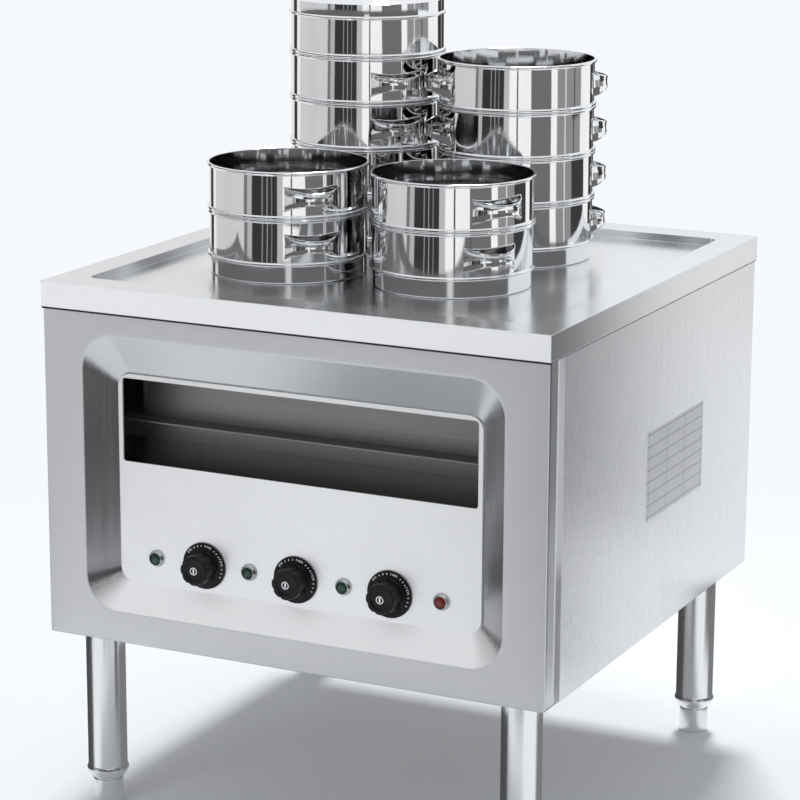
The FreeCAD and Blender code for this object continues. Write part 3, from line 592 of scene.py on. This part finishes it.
LID_DOME_TOP = 92.0
LID_WALL_TOP = 72.0
LID_RADIUS = 88.0
LID_SHEET = 0.6
LID_OUTSIDE = [
    (86.5, 0.0, 0.2), (87.1, 0.0, 0.2), (87.1, 12.0, 0.1), (90.4, 12.0, 1.7), (90.4, 15.7, 1.7),
    (88.0, 15.9, 0.4), (88.0, 54.9, 0.4), (90.4, 55.3, 1.4), (90.4, 58.1, 1.4), (88.0, 58.5, 0.4),
    (LID_RADIUS, LID_WALL_TOP, 0.0)]
LID_INSIDE = [(87.4, 15.4), (86.5, 12.0), (86.5, 0.3)]
LID_GRIP_PROFILE = [
    (0.0, 0.0, 0.0), (9.0, 0.0, 0.8), (7.0, 8.0, 2.5), (15.0, 12.0, 2.0), (15.0, 18.0, 2.5),
    (7.5, 24.0, 3.0), (0.0, 24.0, 0.0)]
# How many points the dome's outside and its underside have from wall to crown
DOME_POINTS = 30
UNDER_POINTS = 16


def lid_profile():
    """Half the lid's section: up the outside over skirt, two beads and wall, over the dome, a
    circle through the wall's top and the crown, and back down the inside."""
    rise = LID_DOME_TOP - LID_WALL_TOP
    ball = (LID_RADIUS ** 2 + rise ** 2) / (2 * rise)
    # The last corner isn't eased, so its points are all one and the first of them is enough
    outside = eased(LID_OUTSIDE)[:1 - EASE_STEPS]
    across = np.linspace(LID_RADIUS, 0.0, DOME_POINTS)
    dome = np.sqrt(ball ** 2 - across ** 2) - ball + LID_DOME_TOP
    inner = np.linspace(0.0, LID_RADIUS - LID_SHEET, UNDER_POINTS)
    under = np.sqrt(ball ** 2 - inner ** 2) - ball + LID_DOME_TOP - LID_SHEET
    return np.concatenate([outside, np.column_stack([across, dome]), np.column_stack([inner, under]),
                           np.array(LID_INSIDE)])


def turned_about(profile, node_name):
    """A turned shell about the upright middle of a node's box, from the box's bottom."""
    return turned(profile, foot_of(node_name))


make_piece("lid_shell", turned_about(lid_profile(), "lid"), "lid", BASKET_STEEL, ("lid",))
make_piece("lid_grip", turned_about(eased(LID_GRIP_PROFILE), "lid_knob"), "lid", STRAP_STEEL,
           ("lid_knob",))


# Legs and feet

LEG_PROFILE = eased([
    (11.1, 0.0, 0.2), (18.0, 0.0, 1.0), (21.6, 4.5, 3.0), (23.6, 9.8, 1.0), (22.6, 12.6, 0.8),
    (22.0, 13.4, 0.3), (22.0, 218.0, 0.3), (20.5, 218.0, 0.3), (20.5, 33.0, 0.3), (11.1, 33.0, 0.3)])
FOOT_PROFILE = eased([
    (0.0, 0.0, 0.0), (15.4, 0.0, 1.2), (17.0, 2.0, 1.2), (17.0, 29.6, 0.6), (16.4, 30.4, 0.3),
    (16.8, 32.0, 0.4), (11.0, 32.0, 0.2), (11.0, 77.0, 0.8), (0.0, 77.0, 0.0)])
for corner in CORNERS:
    make_piece("leg_%s_tube" % corner, turned_about(LEG_PROFILE, "leg_" + corner), "cabinet", LEG_STEEL,
               ("leg_" + corner,))
    make_piece("foot_%s_shoe" % corner, turned_about(FOOT_PROFILE, "foot_" + corner), "foot_" + corner,
               FOOT_STEEL, ("foot_" + corner,))


# Controls

CONTROL_FACE = -0.2835
CONTROL_ROW = 0.304
KNOB_GAP = 0.8
SKIRT_RADIUS = 26.0
SKIRT_EDGE = 1.6
SKIRT_TOP = 3.2
FACE_DISH = 0.8
GRIP_RADIUS = 17.5
GRIP_TOP_RADIUS = 16.5
KNOB_HEIGHT = 24.0
GRIP_LOBES = 8
GROOVE_DEPTH = 1.3
# The grooves start this high over the skirt and are full after the rise, and in the knob's face
# they start at one radius and are full after the reach
GROOVE_START = 0.4
GROOVE_RISE = 1.5
GROOVE_RADIUS = 9.0
GROOVE_REACH = 6.0
CAP_RADIUS = 4.5
CAP_HEIGHT = 0.7
BORE_RADIUS = 3.0
BORE_DEPTH = 19.0
KNOBS = {"left": -0.112, "middle": 0.0, "right": 0.112}
# From left to right three green lamps and a red one
LAMPS = [-0.172, -0.057, 0.057, 0.172]


def grip_lobes(t, radius, height):
    """The grip's radius less GROOVE_DEPTH (1 - |cos 4t|)^2, so narrow grooves part its lobes.
    The grooves fade out in the dial skirt and in the middle of the face."""
    up_grip = np.clip((height - SKIRT_TOP - GROOVE_START) / GROOVE_RISE, 0, 1)
    on_grip = up_grip * np.clip((radius - GROOVE_RADIUS) / GROOVE_REACH, 0, 1)
    groove = (1 - np.abs(np.cos(GRIP_LOBES * t / 2))) ** 2
    return radius - GROOVE_DEPTH * groove * on_grip


KNOB_PROFILE = eased([
    (BORE_RADIUS, 0.0, 0.2), (SKIRT_RADIUS - 0.3, 0.0, 0.3), (SKIRT_RADIUS, SKIRT_EDGE, 0.6),
    (GRIP_RADIUS + 0.6, SKIRT_TOP, 0.5), (GRIP_RADIUS, SKIRT_TOP + 2.0, 1.0),
    (GRIP_TOP_RADIUS, KNOB_HEIGHT, 1.6), (12.0, KNOB_HEIGHT, 0.8), (9.5, KNOB_HEIGHT - FACE_DISH, 0.8),
    (0.0, KNOB_HEIGHT - FACE_DISH, 0.0), (0.0, BORE_DEPTH, 0.0), (BORE_RADIUS, BORE_DEPTH, 0.2)])
CAP_PROFILE = eased([(0.0, -0.3, 0.0), (CAP_RADIUS, -0.3, 0.1), (CAP_RADIUS, CAP_HEIGHT, 0.4),
                     (3.3, CAP_HEIGHT, 0.2), (3.1, -0.1, 0.1), (0.0, -0.1, 0.0)])
# Half the size of the bar that stands across the cap
CAP_BAR = np.array([0.9, 0.5, 2.6])


def flat_digits(digits, size):
    """Digits as flat triangles centred on the origin, in millimetres."""
    curve = bpy.data.curves.new("digits", "FONT")
    curve.body = digits
    curve.size = size
    curve.align_x = "CENTER"
    curve.align_y = "CENTER"
    holder = bpy.data.objects.new("digits", curve)
    mesh = bpy.data.meshes.new_from_object(holder)
    mesh.calc_loop_triangles()
    points = np.empty(len(mesh.vertices) * 3)
    mesh.vertices.foreach_get("co", points)
    corners = np.empty(len(mesh.loop_triangles) * 3, dtype=np.int32)
    mesh.loop_triangles.foreach_get("vertices", corners)
    bpy.data.objects.remove(holder)
    bpy.data.curves.remove(curve)
    bpy.data.meshes.remove(mesh)
    points = points.reshape(-1, 3)
    points[:, :2] -= (points[:, :2].min(axis=0) + points[:, :2].max(axis=0)) / 2
    return points, [corners.reshape(-1, 3)]


# The dial's numbers and ticks, by their turn clockwise from the top
DIAL_MARKS = [("50", 312.0), ("100", 15.0), ("150", 72.0)]
DIAL_TICKS = [330.0, 342.0, 354.0, 36.0, 46.0, 56.0, 92.0, 104.0, 116.0]
DIGIT_SIZE = 6.4
DIGIT_RADIUS = 21.8
TICK_INNER = 20.8
TICK_OUTER = 23.6
TICK_WIDTH = 0.9
INK_LIFT = 0.06


def laid_on_dial(points, angle, x):
    """Flat marks turned clockwise by an angle about the knob's middle and laid on the cone of
    the dial skirt, whose height falls evenly from the grip to the skirt's edge."""
    a = math.radians(angle)
    across = points[:, 0] * math.cos(a) + points[:, 1] * math.sin(a)
    up = points[:, 1] * math.cos(a) - points[:, 0] * math.sin(a)
    radius = np.hypot(across, up)
    height = SKIRT_TOP - (SKIRT_TOP - SKIRT_EDGE) * (radius - GRIP_RADIUS) / (SKIRT_RADIUS - GRIP_RADIUS)
    return np.column_stack([x + across * MM, CONTROL_FACE - (KNOB_GAP + height + INK_LIFT) * MM,
                            CONTROL_ROW + up * MM])


def dial_marks(x):
    """The white numbers and ticks of one dial."""
    shells = []
    for digits, angle in DIAL_MARKS:
        points, faces = flat_digits(digits, DIGIT_SIZE)
        points[:, 1] += DIGIT_RADIUS
        shells.append((laid_on_dial(points, angle, x), faces))
    half = TICK_WIDTH / 2
    tick = np.array([(-half, TICK_INNER, 0), (half, TICK_INNER, 0), (half, TICK_OUTER, 0),
                     (-half, TICK_OUTER, 0)])
    for angle in DIAL_TICKS:
        shells.append((laid_on_dial(tick, angle, x), [np.array([(0, 1, 2, 3)])]))
    return joined(*shells)


for side, x in KNOBS.items():
    base = (x, CONTROL_FACE - KNOB_GAP * MM, CONTROL_ROW)
    cap_base = np.array([x, CONTROL_FACE - (KNOB_GAP + KNOB_HEIGHT - FACE_DISH) * MM, CONTROL_ROW])
    body = "knob_" + side
    dial = turned(KNOB_PROFILE, base, steps=KNOB_TURN_STEPS, axis="y", lobes=grip_lobes)
    make_piece(body + "_dial", dial, body, BLACK_PLASTIC, (body,), sharp=50.0)
    cap_ring = turned(CAP_PROFILE, cap_base, steps=CAP_TURN_STEPS, axis="y")
    cap_bar = box_shell(cap_base - CAP_BAR * MM, cap_base + CAP_BAR * MM)
    make_piece(body + "_cap", joined(cap_ring, cap_bar), body, CAP_CHROME)
    make_piece(body + "_marks", dial_marks(x), body, DIAL_INK, outward=False)

BEZEL_PROFILE = eased([
    (0.0, -22.0, 0.0), (8.0, -22.0, 0.5), (8.0, 0.0, 0.1), (9.4, 0.0, 0.2), (9.2, 2.2, 1.2),
    (7.6, 4.6, 0.8), (6.9, 4.6, 0.3), (6.5, 2.6, 0.3), (6.5, 1.0, 0.2), (0.0, 1.0, 0.0)])
LENS_PROFILE = eased([
    (0.0, 1.0, 0.0), (6.4, 1.0, 0.2), (6.4, 3.6, 0.8), (4.4, 4.9, 1.8), (0.0, 5.3, 0.0)])


def lamp_parts(profile):
    """The same turned shell at each lamp's place."""
    return [turned(profile, (x, CONTROL_FACE, CONTROL_ROW), steps=LAMP_TURN_STEPS, axis="y")
            for x in LAMPS]


make_piece("lamp_rings", joined(*lamp_parts(BEZEL_PROFILE)), "cabinet", CHROME,
           ("lamp_bezels",))
lenses = lamp_parts(LENS_PROFILE)
make_piece("green_lamp_domes", joined(*lenses[:3]), "cabinet", GREEN_LENS,
           ("green_lenses",))
make_piece("red_lamp_dome", lenses[3], "cabinet", RED_LENS, ("red_lens",))


# Painted shadow: a dark strip in the gap under the deck's turned-down edge, in metres

SHADOW_STRIP_FALL = 0.0265
SHADOW_STRIP_INSET = 0.0004
SHADOW_STRIP_DEPTH = 0.0018
SHADOW_STRIP_FRONT_HEIGHT = 0.0022
SHADOW_STRIP_SIDE_HEIGHT = 0.0011


def shadow_strip_bars():
    """Four thin dark bars that paint the shadow line under the deck's edge: round the cabinet,
    taller at the front, just inside the deck's outline and the strip's fall under the front panel's top."""
    deck_low, deck_high = (np.array(corner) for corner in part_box("deck_top"))
    top = PANEL_HIGH * MM - SHADOW_STRIP_FALL
    x = deck_high[0] - SHADOW_STRIP_INSET
    y0, y1 = deck_low[1] + SHADOW_STRIP_INSET, deck_high[1] - SHADOW_STRIP_INSET
    front = top - SHADOW_STRIP_FRONT_HEIGHT
    side = top - SHADOW_STRIP_SIDE_HEIGHT
    return joined(box_shell((-x, y0, front), (x, y0 + SHADOW_STRIP_DEPTH, top)),
                  box_shell((-x, y1 - SHADOW_STRIP_DEPTH, side), (x, y1, top)),
                  box_shell((-x, y0 + SHADOW_STRIP_DEPTH, side), (-x + SHADOW_STRIP_DEPTH, y1 - SHADOW_STRIP_DEPTH, top)),
                  box_shell((x - SHADOW_STRIP_DEPTH, y0 + SHADOW_STRIP_DEPTH, side), (x, y1 - SHADOW_STRIP_DEPTH, top)))


# A painted shadow: the dark strip under the deck's edge
make_piece("deck_shadow_strip", shadow_strip_bars(), "cabinet", SHADOW_STRIP_DARK, weld=False)


# Bare plate on the right side

PLATE_LOW = np.array([0.29835, -0.029, 0.341])
PLATE_HIGH = np.array([0.29885, 0.141, 0.442])
RULE_MARGIN = 0.004
RULE_WIDTH = 0.0008
ROW_PITCH = 0.0133
COLUMN_PITCH = 0.054


def bare_plate_finish():
    """A bare pale plate with faint ruled lines: a line is drawn where the height above the last
    rule is under RULE_WIDTH, and likewise along the plate."""
    finish, tree, shader = new_finish("bare_ruled_plate")
    place = node(tree, "TexCoord").outputs["Object"]
    apart = node(tree, "SeparateXYZ", {"Vector": place})
    rules = []
    for axis, start, pitch in (("Z", PLATE_LOW[2], ROW_PITCH), ("Y", PLATE_LOW[1], COLUMN_PITCH)):
        shifted = node(tree, "Math", {0: apart.outputs[axis], 1: start + RULE_MARGIN},
                       operation="SUBTRACT")
        wrapped = node(tree, "Math", {0: shifted.outputs[0], 1: pitch}, operation="FLOORED_MODULO")
        rules.append(node(tree, "Math", {0: wrapped.outputs[0], 1: RULE_WIDTH},
                          operation="LESS_THAN").outputs[0])
    ruled = node(tree, "Math", {0: rules[0], 1: rules[1]}, operation="MAXIMUM")
    mix = node(tree, "Mix", {"Factor": ruled.outputs[0], "A": (0.84, 0.845, 0.86, 1.0),
                             "B": (0.30, 0.31, 0.33, 1.0)}, data_type="RGBA")
    tree.links.new(mix.outputs["Result"], shader.inputs["Base Color"])
    shader.inputs["Metallic"].default_value = 0.8
    tree.links.new(spread(tree, noise_on(tree, (300, 300, 300)), 0.38, 0.46), shader.inputs["Roughness"])
    return finish


make_piece("bare_side_plate", box_shell(PLATE_LOW, PLATE_HIGH), "cabinet", bare_plate_finish())


# Floor, light and camera

PALE_AIR = (0.925, 0.945, 0.975, 1.0)
ROOM_STRENGTH = 0.46
FLOOR_SIZE = 40.0
FLOOR_GLOW = 0.08
GLOW_NEAR = 0.55
GLOW_FAR = 1.5


def plane(name, size, z, finish):
    """A level square at one height."""
    half = size / 2
    mesh = bpy.data.meshes.new(name)
    mesh.from_pydata([(-half, -half, z), (half, -half, z), (half, half, z), (-half, half, z)], [],
                     [(0, 1, 2, 3)])
    made = bpy.data.objects.new(name, mesh)
    bpy.context.scene.collection.objects.link(made)
    mesh.materials.append(finish)
    return made


def seen_directly(tree):
    """1 on rays that come from the camera, a mirror or glass, and 0 on rays of soft light."""
    path = node(tree, "LightPath")
    direct = node(tree, "Math", {0: path.outputs["Is Camera Ray"], 1: path.outputs["Is Glossy Ray"]},
                  operation="MAXIMUM").outputs[0]
    return node(tree, "Math", {0: direct, 1: path.outputs["Is Transmission Ray"]},
                operation="MAXIMUM").outputs[0]


def floor_finish():
    """A pale floor that keeps the shadow, and that the camera and the steel see nearly white:
    to them, the glow's share grows from FLOOR_GLOW at GLOW_NEAR to 1 at GLOW_FAR."""
    finish, tree, shader = new_finish("pale_floor")
    shader.inputs["Base Color"].default_value = (0.84, 0.86, 0.89, 1.0)
    shader.inputs["Roughness"].default_value = 0.9
    shader.inputs["Specular IOR Level"].default_value = 0.0
    place = node(tree, "TexCoord").outputs["Object"]
    away = node(tree, "VectorMath", {0: place}, operation="LENGTH").outputs["Value"]
    growing = node(tree, "MapRange", {"Value": away, "From Min": GLOW_NEAR, "From Max": GLOW_FAR,
                                      "To Min": FLOOR_GLOW, "To Max": 1.0},
                   interpolation_type="SMOOTHSTEP")
    share = node(tree, "Math", {0: seen_directly(tree), 1: growing.outputs["Result"]},
                 operation="MULTIPLY").outputs[0]
    glow = node(tree, "Emission", {"Color": PALE_AIR, "Strength": 1.0})
    mix = node(tree, "MixShader", {"Fac": share})
    tree.links.new(shader.outputs["BSDF"], mix.inputs[1])
    tree.links.new(glow.outputs["Emission"], mix.inputs[2])
    tree.links.new(mix.outputs["Shader"], tree.nodes["Material Output"].inputs["Surface"])
    return finish


plane("floor", FLOOR_SIZE, 0.0, floor_finish())

# Studio cards that only the steel sees. Their turns are in degrees from +X through +Y, and their
# distances from the middle and their edges' heights are in metres.
RING_DISTANCE = 2.0
SLIM_DISTANCE = 1.9
RING_LOW = 0.12
RING_HIGH = 0.75
RING_TOP = 1.75
# The ring that the baskets mirror, as first turn, last turn and shade, and its tall part behind
RING_CARDS = [
    (-186.0, -129.0, 0.68), (-129.0, -124.0, 0.20), (-124.0, -117.0, 0.50), (-117.0, -81.0, 0.04),
    (-81.0, -73.0, 0.55), (-73.0, -62.0, 1.00), (-62.0, -60.0, 0.06), (-60.0, -42.0, 1.00),
    (-42.0, -11.0, 0.17), (-11.0, -1.0, 1.00), (-1.0, 43.0, 0.30), (43.0, 70.0, 1.00),
    (70.0, 106.0, 0.05)]
TALL_CARDS = [(106.0, 151.0, 0.85), (151.0, 164.0, 0.05), (164.0, 174.0, 0.95)]
# Slim cards just inside the ring, which draw the thin streaks
SLIM_CARDS = [(-103.0, -101.5, 0.30), (-96.0, -95.0, 0.45), (-90.0, -88.5, 0.22), (12.0, 14.0, 0.80),
              (28.0, 30.0, 0.08), (84.0, 86.0, 0.60)]
# The dark card over the ring and the bright one before it, which the deck mirrors, then near cards
# that shade the recess's slopes and the cabinet's corners: distance, turns, edges and shade
HIGH_CARDS = [(RING_DISTANCE, -186.0, 20.0, RING_HIGH, RING_TOP, 0.14),
              (SLIM_DISTANCE, -70.0, -62.0, 0.80, 1.60, 0.80)]
NEAR_CARDS = [(1.0, -92.0, -54.0, 0.03, 0.42, 0.05), (0.7, -172.0, -138.0, 0.0, 0.34, 0.06),
              (1.3, 26.0, 53.0, 0.0, 0.55, 0.05), (1.4, -160.0, -128.0, 0.0, 0.30, 0.30),
              (0.7, 12.0, 34.0, 0.0, 0.24, 0.16), (1.4, -128.0, -119.0, 0.0, 0.30, 0.55)]
STUDIO_CARDS = (
    [(RING_DISTANCE, first, last, RING_LOW, RING_HIGH, shade) for first, last, shade in RING_CARDS]
    + [(RING_DISTANCE, first, last, RING_LOW, RING_TOP, shade) for first, last, shade in TALL_CARDS]
    + HIGH_CARDS
    + [(SLIM_DISTANCE, first, last, RING_LOW, RING_HIGH, shade) for first, last, shade in SLIM_CARDS]
    + NEAR_CARDS)
# Flags beside each leg, to the left and right of the line to the camera: turns and shade
LEG_FLAGS = [(-235.0, -138.0, 0.07), (12.0, 110.0, 0.20)]
LEG_FLAG_DISTANCE = 0.10
LEG_FLAG_HEIGHT = 0.17
CARD_STEP = 2.0
# What a card's darker patches keep of its shade
CARD_PATCHES = (0.93, 0.935, 0.945)


def card_finish(shade):
    """A glowing card of one shade, with the faint unevenness of paper."""
    finish, tree, shader = new_finish("studio_card")
    cloud = noise_on(tree, (1.5, 1.5, 0.4), detail=1.0)
    dark = tuple(shade * kept for kept in CARD_PATCHES)
    paper = shade_between(tree, cloud, dark, (shade,) * 3)
    glow = node(tree, "Emission", {"Color": paper, "Strength": 1.0})
    tree.links.new(glow.outputs["Emission"], tree.nodes["Material Output"].inputs["Surface"])
    finish.cycles.emission_sampling = "NONE"
    return finish


def studio_card(name, distance, first, last, low, high, shade, centre=(0.0, 0.0)):
    """A standing card bent round a centre: it runs along an arc at one distance, from the
    first turn to the last. Only mirror rays meet it, so it casts no light and no shadow."""
    count = max(2, int((last - first) / CARD_STEP) + 2)
    turn = np.radians(np.linspace(first, last, count))[None, :] * np.ones((2, 1))
    height = np.array([[low], [high]]) * np.ones_like(turn)
    points = np.stack([centre[0] + distance * np.cos(turn), centre[1] + distance * np.sin(turn), height],
                      axis=-1)
    mesh = bpy.data.meshes.new(name)
    mesh.from_pydata(points.reshape(-1, 3).tolist(), [], grid_faces(2, count).tolist())
    mesh.materials.append(card_finish(shade))
    card = bpy.data.objects.new(name, mesh)
    bpy.context.scene.collection.objects.link(card)
    for kind in ("camera", "diffuse", "shadow", "transmission", "volume_scatter"):
        setattr(card, "visible_" + kind, False)


for number, card_sizes in enumerate(STUDIO_CARDS):
    studio_card("studio_card_%d" % number, *card_sizes)
for corner in CORNERS:
    leg_middle = foot_of("leg_" + corner)
    for number, (first, last, shade) in enumerate(LEG_FLAGS):
        studio_card("%s_leg_flag_%d" % (corner, number), LEG_FLAG_DISTANCE, first, last, 0.0,
                    LEG_FLAG_HEIGHT, shade, centre=leg_middle)


def studio_world():
    """A pale room: the camera and the steel see plain pale air, and soft light comes from a
    bright ceiling and duller walls."""
    world = bpy.data.worlds.new("studio")
    bpy.context.scene.world = world
    world.use_nodes = True
    tree = world.node_tree
    apart = node(tree, "SeparateXYZ", {"Vector": node(tree, "TexCoord").outputs["Generated"]})
    lift = node(tree, "MapRange", {"Value": apart.outputs["Z"], "From Min": 0.0, "From Max": 0.7,
                                   "To Min": 0.0, "To Max": 1.0}).outputs["Result"]
    room = node(tree, "Mix", {"Factor": lift, "A": (0.50, 0.51, 0.53, 1.0),
                              "B": (0.95, 0.96, 0.98, 1.0)}, data_type="RGBA")
    lit = tree.nodes["Background"]
    tree.links.new(room.outputs["Result"], lit.inputs["Color"])
    lit.inputs["Strength"].default_value = ROOM_STRENGTH
    seen = node(tree, "Background", {"Color": PALE_AIR, "Strength": 1.0})
    mix = node(tree, "MixShader", {"Fac": seen_directly(tree)})
    tree.links.new(lit.outputs["Background"], mix.inputs[1])
    tree.links.new(seen.outputs["Background"], mix.inputs[2])
    tree.links.new(mix.outputs["Shader"], tree.nodes["World Output"].inputs["Surface"])


def soft_light(name, place, target, size, power, mirrored=True):
    """A square soft light that faces a target. One that isn't mirrored leaves no highlight."""
    light = bpy.data.lights.new(name, "AREA")
    light.size = size
    light.energy = power
    lamp = bpy.data.objects.new(name, light)
    lamp.location = place
    lamp.rotation_euler = (Vector(target) - Vector(place)).to_track_quat("-Z", "Y").to_euler()
    lamp.visible_glossy = mirrored
    bpy.context.scene.collection.objects.link(lamp)


studio_world()
soft_light("key_light", place=(-0.6, 2.6, 5.4), target=(0, 0, 0.3), size=1.1, power=262.0)
soft_light("front_fill_light", place=(-0.9, -3.3, 0.45), target=(0, 0, 0.4), size=1.4, power=46.0,
           mirrored=False)


def photo_camera():
    """The photograph's camera: it looks along yaw and pitch, with a slight roll."""
    yaw, pitch, roll = CAMERA_YAW, CAMERA_PITCH, CAMERA_ROLL
    ahead = Vector((-math.sin(yaw) * math.cos(pitch), math.cos(yaw) * math.cos(pitch), -math.sin(pitch)))
    right = Vector((math.cos(yaw), math.sin(yaw), 0.0))
    up = right.cross(ahead)
    right, up = (right * math.cos(roll) + up * math.sin(roll),
                 up * math.cos(roll) - right * math.sin(roll))
    data = bpy.data.cameras.new("photo_camera")
    data.lens = CAMERA_LENS
    data.sensor_width = 36.0
    data.clip_end = 100.0
    camera = bpy.data.objects.new("photo_camera", data)
    camera.matrix_world = Matrix((
        (right.x, up.x, -ahead.x, CAMERA_PLACE[0]), (right.y, up.y, -ahead.y, CAMERA_PLACE[1]),
        (right.z, up.z, -ahead.z, CAMERA_PLACE[2]), (0.0, 0.0, 0.0, 1.0)))
    bpy.context.scene.collection.objects.link(camera)
    bpy.context.scene.camera = camera


photo_camera()
bpy.context.scene.view_settings.view_transform = "Standard"
